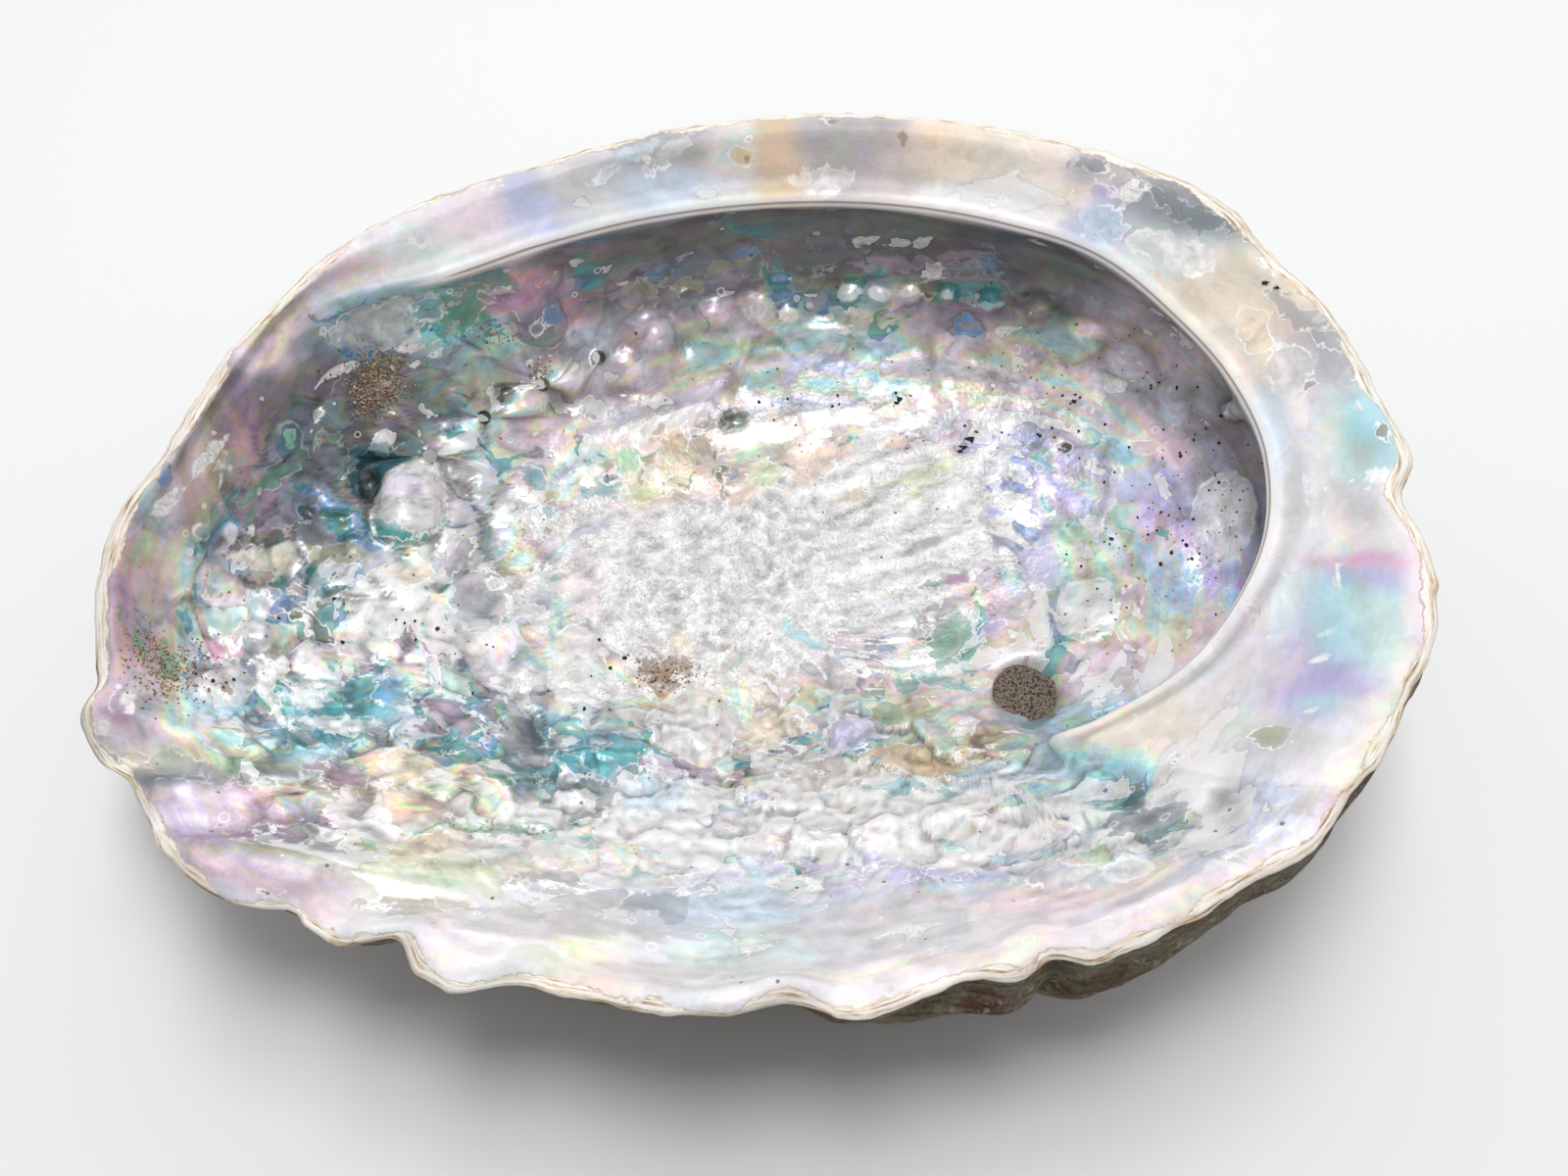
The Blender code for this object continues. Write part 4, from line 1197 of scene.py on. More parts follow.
    def relief(self) -> Array:
        """Adds up the fine relief: undulation, flakes, the scar's crust and strokes, blisters and swellings.

        Returns:
            How far each vertex stands up from the plain surface, in millimetres.
        """
        p, flow, bowl = self.points, self.flow(), self.on(BOWL)
        scar, flaked = self.scar(), self.flaked() * (1 - 0.6 * self.scar())
        off_lip = smooth(self.gap, 1.0, 6.0)
        height = (0.1 + 0.45 * bowl) * off_lip * cloud(p, 9, 1, 3)
        height += 0.14 * cloud(flow * (0.25, 0.25, 1.0), 5, 2, 2) * smooth(self.gap, 1, 4) * bowl
        cell, edge, tilt = self.flake
        brink = smooth(edge, 0.0, 0.7)
        height += flaked * (0.5 * (cell - 0.5) + 0.17 * tilt) * (0.35 + 0.65 * brink)
        _, small_edge, small_tilt = shards(p + 1.2 * cloud(p, 3, 19, 2)[:, None], 3.4, 17)
        height += flaked * 0.14 * small_tilt * smooth(small_edge, 0.0, 0.5)
        c, s = math.cos(math.radians(GRAIN_SLANT)), math.sin(math.radians(GRAIN_SLANT))
        grain = np.column_stack([(p[:, 0] * c + p[:, 1] * s) / 4.5, -p[:, 0] * s + p[:, 1] * c, p[:, 2]])
        striped = smooth(p[:, 0], -2, 18)
        crust = 0.75 * cloud(p, 3.0, 22, 3) + self.terraces(p, 5.0, 0.2)
        strokes = 0.6 * cloud(grain, 1.8, 21, 2) + 0.3 * cloud(p, 4.2, 23, 2)
        strokes += self.terraces(grain / 1.2, 4.2, 0.22)
        height += scar * (crust * (1 - striped) + strokes * striped)
        height += self.terraces(p, 9.0, 0.26) * self.flaked()
        for *ellipse, tall in BLISTERS:
            dome = np.clip(1 - reach(self.uv, ellipse) ** 2, 0, 1)
            height += tall * dome**0.6 * bowl
        for *ellipse, tall in SWELLS:
            height += 1.35 * tall * np.exp(-1.4 * reach(self.uv, ellipse) ** 2) * bowl
        ridge = self.inner_edge()
        height += 0.3 * np.exp(-(((ridge + 1.6) / 0.8) ** 2)) * self.shelf
        height -= 0.3 * np.exp(-(((ridge + 4.5) / 1.8) ** 2)) * self.shelf
        return height

    def terraces(self, points: Array, size: float, step: float) -> Array:
        """Thin layers whose edges follow the contour lines of noise, each one step above the next.

        Args:
            points: places, one row each.
            size: the noise's size.
            step: a layer's thickness.

        Returns:
            Each place's height.
        """
        level = 4 * cloud(points, size, 24, 3)
        low = np.floor(level)
        return step * (low + smooth(level - low, 0.35, 0.65))

    def cavity(self, height: Array) -> Array:
        """How far each vertex's relief stands above the mean of the 25 about it; the nacre paints shade and
        light by it.

        Args:
            height: the relief.

        Returns:
            The difference, below zero in cracks.
        """
        grid = height.reshape(self.grid.cells + 1, -1)
        moves = [(i, j) for i in (-2, -1, 0, 1, 2) for j in (-2, -1, 0, 1, 2)]
        mean = sum(np.roll(grid, move, axis=(0, 1)) for move in moves) / len(moves)
        return (grid - mean).ravel()

    def inner_edge(self) -> Array:
        """Each vertex's distance past the shelf's inner edge along its cross-section."""
        tip = self.form.gap_to_lip(self.turn, np.full(len(self.turn), self.edge_along))
        return np.where(self.shelf > 0, self.gap - tip, 20.0)


@dataclass
class AbaloneShell:
    """The whole shell as one closed mesh: a fine inside and a coarser back, joined at the lip."""

    form: ShellForm
    view: Viewpoint
    inner_cells: int = 272
    pore_radius: float = 1.8
    pore_mouth: float = 1.15
    ring_steps: int = 4
    lip_jag: float = 0.55
    dull_lip: float = 7.0
    dull_tongues: float = 11.0
    inner: Grid = field(init=False)
    outer: Grid = field(init=False)
    inside: Inside = field(init=False)
    relief: Array = field(init=False)

    def build(self) -> bpy.types.Object:
        """Makes the mesh, gives it its fields and finishes, and lets it stand for the solid.

        Returns:
            The piece.
        """
        self.inner, self.outer = Grid(self.inner_cells), Grid(self.inner_cells // 2)
        self.inside = Inside(self.form, self.view, self.inner)
        data = self.inside
        self.relief = data.relief()
        front = data.points + data.normal * self.relief[:, None]
        front[:, :2] += self.jagged(data.turn, data.points, np.exp(-data.gap / 1.6))
        back = self.back_points()
        mesh = self.join(front, back, *self.open_pores(front, back))
        shell = bpy.data.objects.new("abalone_shell", mesh)
        bpy.context.scene.collection.objects.link(shell)
        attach(shell, "root")
        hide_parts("shell")
        return shell

    def jagged(self, turn: Array, points: Array, weight: Array) -> Array:
        """How far the chipped lip juts in or out in plan: noise along the turn, fading away from the lip.

        Args:
            turn: each point's turn.
            points: not used.
            weight: 1 on the lip, fading to 0.

        Returns:
            Plan vectors.
        """
        ring = np.column_stack([RING * heading(turn), np.zeros(len(turn))])
        jut = self.lip_jag * (cloud(ring, 2.6, 41, 3) + 0.5 * cloud(ring, 9, 42))
        return heading(turn) * (jut * weight)[:, None]

    def back_points(self) -> Array:
        """The outside's vertices: folds, waves, coils, pore mounds and crust, worn flat at the crown.

        Returns:
            The points.
        """
        form = self.form
        turn, share = self.outer.polar()
        points = form.back(turn, form.evenly(form.back, share))
        normal = self.outer.normals(points)
        lift = form.folds(points[:, :2]) * share**2
        off_lip = np.clip((1 - share) / form.swell_lip_fade, 0, 1)
        swell = (form.spire(points[:, :2])[0] + form.mounds(points)) * off_lip
        swell += form.corrugation(turn, share)
        rough = 0.5 * cloud(points, 7, 51, 3) + 0.35 * cloud(points, 3.2, 52, 2)
        flow = np.column_stack([RING * heading(turn) * 0.2, 90 * share])
        rough += 0.35 * cloud(flow, 3.0, 53, 2)
        points += normal * (swell + rough * off_lip)[:, None]
        points[:, :2] += self.jagged(turn, points, np.exp(-(1 - share) * 90 / 2.5))
        points[:, 2] = np.maximum(points[:, 2] + lift, 0.0)
        return points

    def open_pores(self, front: Array, back: Array) -> tuple[list, tuple]:
        """Bends a ring of both faces round each open pore.

        Args:
            front: the inside's points, which it moves.
            back: the outside's points, which it moves.

        Returns:
            The pairs of rings to be joined by a tube, and each face's cells to leave out.
        """
        tubes, holes = [], ([], [])
        way = np.asarray(PORE_WAY_OUT) / np.linalg.norm(PORE_WAY_OUT)
        for place in OPEN_PORES:
            centre = np.array([*place, self.form.keel_height])
            rings = []
            for points, grid, steps, gone in (
                (front, self.inner, self.ring_steps, holes[0]),
                (back, self.outer, self.ring_steps // 2, holes[1]),
            ):
                off = points - centre
                ahead = off @ way
                off_axis = np.linalg.norm(off - np.outer(ahead, way), axis=1)
                middle = int(np.argmin(off_axis + 0.3 * abs(ahead)))
                self.bend_round(points, grid, middle, steps, centre, way)
                rings.append(grid.ring(middle, steps))
                row, column = divmod(middle, grid.cells + 1)
                span = np.arange(-steps, steps)
                gone.append(((row + span)[:, None] * grid.cells + column + span).ravel())
            tubes.append(rings)
        return tubes, holes

    def bend_round(
        self, points: Array, grid: Grid, middle: int, steps: int, centre: Array, way: Array
    ) -> None:
        """Moves the square ring about a vertex to a circle about the pore's axis, and its neighbours less.

        Each vertex slides in the wall's own plane, so that the wall stays whole.

        Args:
            points: the face's points, which it moves.
            grid: the face's grid.
            middle: the vertex.
            steps: the ring's distance from it in cells.
            centre: the pore's place on the keel.
            way: the pore's direction.
        """
        normal = grid.normals(points)[middle]
        side = np.cross(way, (0.0, 0.0, 1.0))
        side /= np.linalg.norm(side)
        other = np.cross(way, side)
        wide = self.pore_radius if steps < self.ring_steps else self.pore_mouth
        for extra, share in ((0, 1.0), (1, 0.8), (2, 0.5), (3, 0.2)):
            ring = grid.ring(middle, steps + extra)
            off = points[ring] - centre
            x, y = off @ side, off @ other
            radius = wide + 0.75 * extra * self.ring_steps / steps
            stretch = radius / np.hypot(x, y)
            move = share * ((stretch - 1) * x)[:, None] * side + share * ((stretch - 1) * y)[:, None] * other
            move -= np.outer(move @ normal / (way @ normal), way)
            points[ring] += move

    def join(self, front: Array, back: Array, tubes: list, holes: tuple) -> bpy.types.Mesh:
        """Joins the two faces at the lip and through the pores in one closed mesh with its fields.

        Args:
            front: the inside's points.
            back: the outside's points.
            tubes: pairs of rings.
            holes: each face's cells to leave out.

        Returns:
            The mesh.
        """
        inner, outer = self.inner, self.outer
        border = outer.polar()[1] >= 1
        half = 2 * (np.arange(len(back)) // (outer.cells + 1)) * (inner.cells + 1)
        half += 2 * (np.arange(len(back)) % (outer.cells + 1))
        back_index = np.where(border, half, len(front) - 1 + np.cumsum(~border))
        points = [front, back[~border]]
        total = len(front) + int((~border).sum())
        keep = np.ones(inner.cells**2, bool)
        keep[np.concatenate(holes[0])] = False
        front_faces = inner.quads()[keep]
        keep = np.ones(outer.cells**2, bool)
        keep[np.concatenate(holes[1])] = False
        outer_quads = outer.quads()[keep]
        on_border = border[outer_quads].sum(axis=1) >= 2
        plain = back_index[outer_quads[~on_border]][:, ::-1]
        stitched = [self.with_midpoints(q, border, back_index) for q in outer_quads[on_border]]
        tube_faces = []
        for front_ring, back_ring in tubes:
            back_ring = back_index[back_ring]
            every = np.vstack(points)
            shift = int(np.argmin(np.linalg.norm(every[front_ring] - every[back_ring[0]], axis=1)))
            front_ring = np.roll(front_ring, -shift)
            ends = every[np.repeat(back_ring, 2)]
            ends[1::2] = (every[back_ring] + every[np.roll(back_ring, -1)]) / 2
            points.append((every[front_ring] + ends) / 2)
            middle = total + np.arange(len(front_ring))
            total += len(front_ring)
            following = np.roll(front_ring, -1)
            middle_next = np.roll(middle, -1)
            tube_faces += np.column_stack([front_ring, middle, middle_next, following]).tolist()
            a, m, b = middle[0::2], middle[1::2], np.roll(middle, -2)[0::2]
            near, far = back_ring, np.roll(back_ring, -1)
            tube_faces += np.column_stack([a, near, m]).tolist()
            tube_faces += np.column_stack([near, far, m]).tolist()
            tube_faces += np.column_stack([m, far, b]).tolist()
        faces = front_faces.tolist() + tube_faces + plain.tolist() + stitched
        mesh = bpy.data.meshes.new("abalone_shell")
        every = np.vstack(points)
        mesh.from_pydata((every * MM).tolist(), [], faces)
        inner_count = len(front_faces)
        data = self.inside
        tongues = self.dull_tongues * np.exp(-(((data.turn - 208) / 20) ** 2))
        calm = data.shelf + (data.gap < self.dull_lip + tongues + 1.5 * cloud(data.points, 5, 43, 2))
        kinds = np.full(len(faces), 3, np.int32)
        kinds[:inner_count] = np.where(calm[front_faces].mean(axis=1) > 0.5, 2, 0)
        kinds[:inner_count][data.scar()[front_faces].mean(axis=1) > 0.45] = 1
        kinds[inner_count : inner_count + len(tube_faces)] = 1
        chalky = Nacre("chalky_scar", 0.55, metallic=0.0, coat=0.25, coat_roughness=0.25)
        dull = Nacre("shelf_nacre", 0.56, metallic=0.04, coat=0.14, coat_roughness=0.34)
        for finish in (Nacre(), chalky, dull, Crust()):
            mesh.materials.append(finish.make())
        mesh.polygons.foreach_set("material_index", kinds)
        mesh.polygons.foreach_set("use_smooth", np.ones(len(faces), bool))
        self.write_fields(mesh, len(front), every, back_index)
        return mesh

    def with_midpoints(self, quad: Array, border: Array, back_index: Array) -> list[int]:
        """A border cell of the back, with the lip's in-between vertices added along its border sides.

        Args:
            quad: the cell's corners.
            border: whether each vertex of the back is on the border.
            back_index: each vertex's number in the mesh.

        Returns:
            The face's vertices.
        """
        corners = []
        for here, there in zip(quad, np.roll(quad, -1)):
            corners.append(int(back_index[here]))
            step = abs(int(back_index[here]) - int(back_index[there]))
            if border[here] and border[there] and step in (2, 2 * (self.inner.cells + 1)):
                corners.append((int(back_index[here]) + int(back_index[there])) // 2)
        return corners[::-1]

    def write_fields(self, mesh: bpy.types.Mesh, count: int, every: Array, back_index: Array) -> None:
        """Stores the fields that the finishes read, one value for each vertex.

        Args:
            mesh: the mesh.
            count: how many of its vertices are the inside's.
            every: its points.
            back_index: the number in it of each vertex of the back.
        """
        data = self.inside
        total = len(mesh.vertices)
        mark, mark_edge, mark_ragged = data.patches(MARKS)
        spot, spot_edge, spot_ragged = data.patches(SPOTS)
        film = data.zone(FILM_AND_GLARE_ZONES, BOWL) + data.zone(FILM_ZONES_ON_SHELF, SHELF)
        film -= 0.7 * (1 - film) * np.maximum(data.shelf, 1 - smooth(data.gap, 8, 16))
        colours = {"tint": data.tint(), "mark": mark, "spot": spot}
        numbers = {
            "mark_edge": mark_edge,
            "mark_ragged": mark_ragged,
            "spot_edge": spot_edge,
            "spot_ragged": spot_ragged,
            "film": film,
            "deep": data.zone(DEEP_ZONES, BOWL),
            "scar": data.scar(),
            "flaked": data.flaked(),
            "shelf": data.shelf,
            "calm": np.maximum(data.shelf, 0.85 * smooth(data.uv[:, 1], 850, 930)),
            "lip": data.gap - around(data.turn, LIP_CRUST)[:, 0],
            "cell": data.flake[0],
            "brink": data.flake[1],
            # Painted shade and light: cavity lets the nacre darken the relief's cracks and brighten its
            # raised spots
            "cavity": data.cavity(self.relief) * smooth(data.gap, 2, 6),
            "inner": np.abs(data.inner_edge() + 0.5) + 9 * (1 - data.shelf),
        }
        for name, values in colours.items():
            full = np.tile(np.array(linear("white"), np.float32), (total, 1))
            full[:count] = values
            mesh.attributes.new(name, "FLOAT_COLOR", "POINT").data.foreach_set("color", full.ravel())
        for name, values in numbers.items():
            full = np.full(total, -4.0 if name.endswith("edge") else 0.0, np.float32)
            if name in ("lip", "brink"):
                full[:] = 20.0
            full[:count] = values
            mesh.attributes.new(name, "FLOAT", "POINT").data.foreach_set("value", full)
        turn, share = self.outer.polar()
        coil = self.form.spire(every[back_index][:, :2])[1]
        growth = np.zeros((total, 3), np.float32)
        growth[:count] = data.flow()
        growth[back_index] = np.column_stack([RING * heading(turn), 95 * (1 - share)])
        mesh.attributes.new("growth", "FLOAT_VECTOR", "POINT").data.foreach_set("vector", growth.ravel())
        seam = np.zeros(total, np.float32)
        across = coil - np.floor(coil)
        away = np.linalg.norm(every[back_index][:, :2] - np.asarray(self.form.apex), axis=1)
        seam[back_index] = np.minimum(across, 1 - across) * away
        mesh.attributes.new("seam", "FLOAT", "POINT").data.foreach_set("value", seam)


@dataclass(frozen=True)
class Nodes:
    """A finish's node tree. Calling it adds a node."""

    tree: bpy.types.NodeTree

    def __call__(
        self, kind: str, *values: object, out: int | str = 0, stops: list | None = None, **settings: object
    ) -> Socket:
        """Adds a node with its settings and links.

        Args:
            kind: the node's type without its ShaderNode prefix, then its operation or data type, if any.
            values: what inputs 0, 1, 2 and so on are set or linked to, or a dict by name or number.
                A string is a colour of the palette.
            out: the output to return.
            stops: a colour ramp's (place, palette's name or grey value) pairs, or linear colours.
            settings: the node's own properties.

        Returns:
            The output socket.
        """
        kind, _, mode = kind.partition(" ")
        node = self.tree.nodes.new("ShaderNode" + kind)
        if mode:
            settings["data_type" if kind == "Mix" else "operation"] = mode
        for name, value in settings.items():
            setattr(node, name, value)
        inputs = values[0] if values and isinstance(values[0], dict) else dict(enumerate(values))
        for key, value in inputs.items():
            if isinstance(value, Socket):
                self.tree.links.new(value, node.inputs[key])
            else:
                node.inputs[key].default_value = linear(value) if isinstance(value, str) else value
        if stops:
            elements = node.color_ramp.elements
            for place, _ in stops[2:]:
                elements.new(place)
            for element, (place, colour) in zip(elements, stops):
                element.position = place
                grey = (colour,) * 3 if isinstance(colour, float) else colour
                element.color = linear(colour) if isinstance(colour, str) else (*grey, 1)
        return node.outputs[out] if node.outputs else node


def start_material(name: str) -> tuple[bpy.types.Material, Nodes, Socket]:
    """Starts a material.

    Args:
        name: the material's name.

    Returns:
        The empty material, its nodes, and the place in the object in millimetres.
    """
    material = bpy.data.materials.new(name)
    material.use_nodes = True
    material.node_tree.nodes.clear()
    add = Nodes(material.node_tree)
    place = add("TexCoord", out="Object")
    return material, add, add("VectorMath SCALE", {0: place, "Scale": 1 / MM})


@dataclass
class NacreLayers:
    """The layers of nacre's colour, laid over one another in one node tree."""

    add: Nodes
    mm: Socket
    pearl_gain: float
    bent: Socket = field(init=False)
    crumbs: Socket = field(init=False)
    flow: Socket = field(init=False)
    tint: Socket = field(init=False)
    fields: dict[str, Socket] = field(init=False)
    colour: Socket = field(init=False)
    phase: Socket = field(init=False)
    uneven: Socket = field(init=False)
    lip: Socket = field(init=False)

    def __post_init__(self) -> None:
        """Adds what several layers read: bent places, the scar's crumbs and the mesh's fields."""
        add, mm = self.add, self.mm
        wobble = add("TexNoise", {"Vector": mm, "Scale": 0.14, "Detail": 3.0}, out="Color")
        bent = add("VectorMath MULTIPLY_ADD", wobble, (14, 14, 14), (-7, -7, -7))
        self.bent = add("VectorMath ADD", bent, mm)
        self.crumbs = add("TexNoise", {"Vector": mm, "Scale": 0.6, "Detail": 4.0, "Roughness": 0.62})
        self.flow = add("Attribute", out="Vector", attribute_name="growth")
        self.tint = add("Attribute", out="Color", attribute_name="tint")
        self.fields = {name: add("Attribute", out="Fac", attribute_name=name) for name in FIELDS}

    def hues(self) -> None:
        """The pearly colours: each place's broad tint, drifting round the pearl hues in bands and flakes."""
        add, bent, fields = self.add, self.bent, self.fields
        drift = add("TexNoise", {"Vector": bent, "Scale": 0.07, "Detail": 3.0, "Roughness": 0.5})
        bands = add("VectorMath MULTIPLY", self.flow, (0.3, 0.3, 1.0))
        bands = add("TexNoise", {"Vector": bands, "Scale": 0.07, "Detail": 5.0, "Roughness": 0.6})
        within = add("Math MULTIPLY_ADD", fields["brink"], 0.22, fields["cell"])
        within = add("Math MULTIPLY", within, fields["flaked"])
        phase = add("Math MULTIPLY_ADD", drift, 2.0, within)
        phase = add("Math MULTIPLY_ADD", bands, 2.0, phase)
        self.phase = add("Math FRACT", phase)
        pearl = add(
            "ValToRGB",
            self.phase,
            stops=[
                (0.0, "silver"), (0.1, "lilac"), (0.2, "pink"), (0.3, "peach"), (0.4, "lime"),
                (0.5, "mint"), (0.6, "aqua"), (0.7, "pearl"), (0.8, "periwinkle"), (0.9, "taupe"),
                (1.0, "silver"),
            ],
        )
        share = add("Math MULTIPLY_ADD", fields["calm"], -0.45, 0.75)
        pearl = add("VectorMath SCALE", {0: pearl, "Scale": self.pearl_gain})
        colour = add("Mix RGBA", {0: share, 6: self.tint, 7: pearl}, out=2, blend_type="MULTIPLY")
        tone = add("TexNoise", {"Vector": bent, "Scale": 0.16, "Detail": 4.0, "Roughness": 0.55})
        tone = add("MapRange", tone, 0.34, 0.66, 0.68, 1.3)
        calm = add("Math MULTIPLY", fields["calm"], 0.65)
        tone = add("Mix", {0: calm, 2: tone, 3: 1.0})
        crack = add("MapRange", fields["brink"], 0.05, 0.3, 0.55, 0.0)
        crack = add("Math MULTIPLY", crack, fields["flaked"])
        tone = add("Math SUBTRACT", tone, crack)
        self.colour = add("VectorMath SCALE", {0: colour, "Scale": tone})

    def deepen(self) -> None:
        """Lays in the dark teal, blue and green pools where the white layers have worn off."""
        add, fields = self.add, self.fields
        worn = {"Vector": self.bent, "Scale": 0.1, "Detail": 3.0, "Roughness": 0.45, "Distortion": 0.8}
        pools = add("TexNoise", worn)
        at = add("Math MULTIPLY_ADD", fields["deep"], 0.27, pools)
        at = add("Math MULTIPLY_ADD", fields["calm"], -0.1, at)
        inside = add("MapRange", at, 0.69, 0.71, interpolation_type="SMOOTHSTEP")
        hue = add(
            "ValToRGB",
            self.phase,
            stops=[
                (0.0, "slate"), (0.18, "mauve"), (0.34, "leaf"), (0.5, "teal"), (0.64, "deep_teal"),
                (0.78, "blue"), (0.9, "grey"), (1.0, "slate"),
            ],
        )
        inside = add("Math MULTIPLY", inside, 0.72)
        self.colour = add("Mix RGBA", {0: inside, 6: self.colour, 7: hue}, out=2)

    def lay(self, name: str) -> None:
        """Lays one table's patches over the colour, cut off along a wavering line with a broken pale lip,
        partly a painted highlight on the patches' edges.

        Args:
            name: the patches' field, mark or spot.
        """
        add, fields = self.add, self.fields
        over = add("Attribute", out="Color", attribute_name=name)
        lace = add("TexNoise", {"Vector": self.bent, "Scale": 0.3, "Detail": 3.0, "Roughness": 0.5})
        broken = add("TexNoise", {"Vector": self.mm, "Scale": 0.25, "Detail": 1.0})
        broken = add("MapRange", broken, 0.42, 0.58, 0.15, 1.3)
        light = add("VectorMath DOT_PRODUCT", self.tint, (0.33, 0.33, 0.33), out=1)
        broken = add("Math MULTIPLY", broken, light, use_clamp=True)
        waver = add("Math SUBTRACT", lace, 0.5)
        waver = add("Math MULTIPLY", waver, fields[name + "_ragged"])
        edge = add("Math MULTIPLY_ADD", waver, 5.0, fields[name + "_edge"])
        inside = add("MapRange", edge, -0.15, 0.15, interpolation_type="SMOOTHSTEP")
        deeper = add("MapRange", edge, 0.0, 2.5, 0.45, 0.78)
        inside = add("Math MULTIPLY", inside, deeper)
        tone = add("MapRange", lace, 0.35, 0.65, 0.7, 1.2)
        over = add("VectorMath SCALE", {0: over, "Scale": tone})
        colour = add("Mix RGBA", {0: inside, 6: self.colour, 7: over}, out=2)
        near = add("Math ABSOLUTE", edge)
        # Partly painted highlight: a broken white line along the patch's edge
        line = add("MapRange", near, 0.28, 0.08, 0.0, 1.0, interpolation_type="SMOOTHSTEP")
        line = add("Math MULTIPLY", line, broken)
        self.colour = add("Mix RGBA", {0: line, 6: colour, 7: "white"}, out=2)

    def pepper(self) -> None:
        """Scatters dark pinholes and small pale rings over the bowl, one in every few cells of a net."""
        add = self.add
        net = add("TexVoronoi", {"Vector": self.mm, "Scale": 0.42, "Randomness": 1.0}, out="Color")
        far = net.node.outputs["Distance"]
        chance = add("SeparateColor", net)
        other = chance.node.outputs[1]
        bowl = add("Math SUBTRACT", 1.0, self.fields["shelf"])
        hole = add("MapRange", chance, 0.72, 1.0, 0.0, 0.15)
        hole = add("Math LESS_THAN", far, hole)
        hole = add("Math MULTIPLY", hole, bowl)
        hole = add("Math MULTIPLY", hole, 0.75)
        size = add("MapRange", other, 0.9, 1.0, -0.2, 0.34)
        ring = add("Math SUBTRACT", far, size)
        ring = add("Math ABSOLUTE", ring)
        ring = add("MapRange", ring, 0.07, 0.03, 0.0, 0.6)
        ring = add("Math MULTIPLY", ring, bowl)
        colour = add("Mix RGBA", {0: ring, 6: self.colour, 7: "white"}, out=2)
        self.colour = add("Mix RGBA", {0: hole, 6: colour, 7: "umber"}, out=2)

    def film(self) -> None:
        """Lays on the milky film, whose white outline is partly a painted highlight on its wet edge, with a
        painted shadow beside it.
        """
        add = self.add
        stretched = add("VectorMath MULTIPLY", self.flow, (0.7, 0.7, 0.75))
        curds = {"Vector": stretched, "Scale": 0.11, "Detail": 3.0, "Roughness": 0.45, "Distortion": 0.9}
        foam = add("TexNoise", curds)
        lumpy = add("TexNoise", {"Vector": self.bent, "Scale": 0.12, "Detail": 2.0, "Roughness": 0.45})
        self.uneven = add("Mix", {0: 0.5, 2: foam, 3: lumpy})
        at = add("Math MULTIPLY_ADD", self.fields["film"], 0.19, self.uneven)
        # Painted shadow just outside the film's edge
        shade = add("ValToRGB", at, stops=[(0.57, 1.0), (0.6, 0.86), (0.605, 0.76), (0.608, 1.0)])
        colour = add("Mix RGBA", {0: 1.0, 6: self.colour, 7: shade}, out=2, blend_type="MULTIPLY")
        # The film, its full-strength edge partly a painted highlight
        film = add(
            "ValToRGB",
            at,
            stops=[(0.604, 0.0), (0.608, 1.0), (0.614, 1.0), (0.62, 0.55), (0.65, 0.75), (0.7, 0.9)],
        )
        self.colour = add("Mix RGBA", {0: film, 6: colour, 7: "film"}, out=2)

    def chalk(self) -> None:
        """Lays on the muscle scar's chalky crust: crumbs at its left, strokes at its right, and painted
        shade along one side of each thin layer's edge.
        """
        add, mm, crumbs = self.add, self.mm, self.crumbs
        slant = (0, 0, math.radians(-GRAIN_SLANT))
        grain = add("Mapping", {"Vector": mm, "Rotation": slant, "Scale": (0.2, 1.0, 1.0)})
        grain = add("TexNoise", {"Vector": grain, "Scale": 0.8, "Detail": 4.0, "Roughness": 0.7})
        east = add("SeparateXYZ", mm)
        fine = add("MapRange", east, 6.0, 22.0, 0.85, 0.3)
        rough = add("Mix", {0: fine, 2: grain, 3: crumbs})
        over = add("Math MULTIPLY_ADD", self.fields["scar"], 0.3, self.uneven)
        over = add("MapRange", over, 0.62, 0.66, interpolation_type="SMOOTHSTEP")
        chalk = add(
            "ValToRGB", rough, stops=[(0.34, "silver"), (0.41, "pearl"), (0.46, "film"), (0.53, "white")]
        )
        layer_noise = {"Vector": mm, "Scale": 0.26, "Detail": 4.0, "Roughness": 0.55, "Distortion": 1.2}
        layers = add("TexNoise", layer_noise)
        layers = add("Math MULTIPLY", layers, 10.0)
        layers = add("Math FRACT", layers)
        # Painted shade along one side of each thin layer's edge
        shadow = add(
            "ValToRGB",
            layers,
            stops=[(0.0, 0.5), (0.07, 1.0), (0.55, 1.0), (0.85, 0.8), (0.96, 0.36), (1.0, 0.5)],
        )
        some = add("MapRange", crumbs, 0.38, 0.54, 0.15, 1.0)
        chalk = add("Mix RGBA", {0: some, 6: chalk, 7: shadow}, out=2, blend_type="MULTIPLY")
        over = add("Math MULTIPLY", over, 0.88)
        self.colour = add("Mix RGBA", {0: over, 6: self.colour, 7: chalk}, out=2)

    def shade(self) -> None:
        """Paints shade into the relief's cracks and light onto its raised spots, and draws the shelf's inner
        edge as a pale band, partly a painted highlight on its ridge, with a brown line.
        """
        add, fields = self.add, self.fields
        # Painted shade in the relief's cracks and painted light on its raised spots
        shade = add("MapRange", fields["cavity"], -0.35, 0.1, 0.5, 1.14)
        colour = add("VectorMath SCALE", {0: self.colour, "Scale": shade})
        # Partly painted highlight: the pale band on the ridge along the shelf's inner edge
        pale = add("MapRange", fields["inner"], 1.5, 0.7, 0.0, 0.6)
        colour = add("Mix RGBA", {0: pale, 6: colour, 7: "white"}, out=2)
        seam = add("MapRange", fields["inner"], 0.28, 0.12, 0.0, 0.7)
        self.colour = add("Mix RGBA", {0: seam, 6: colour, 7: "brown"}, out=2)

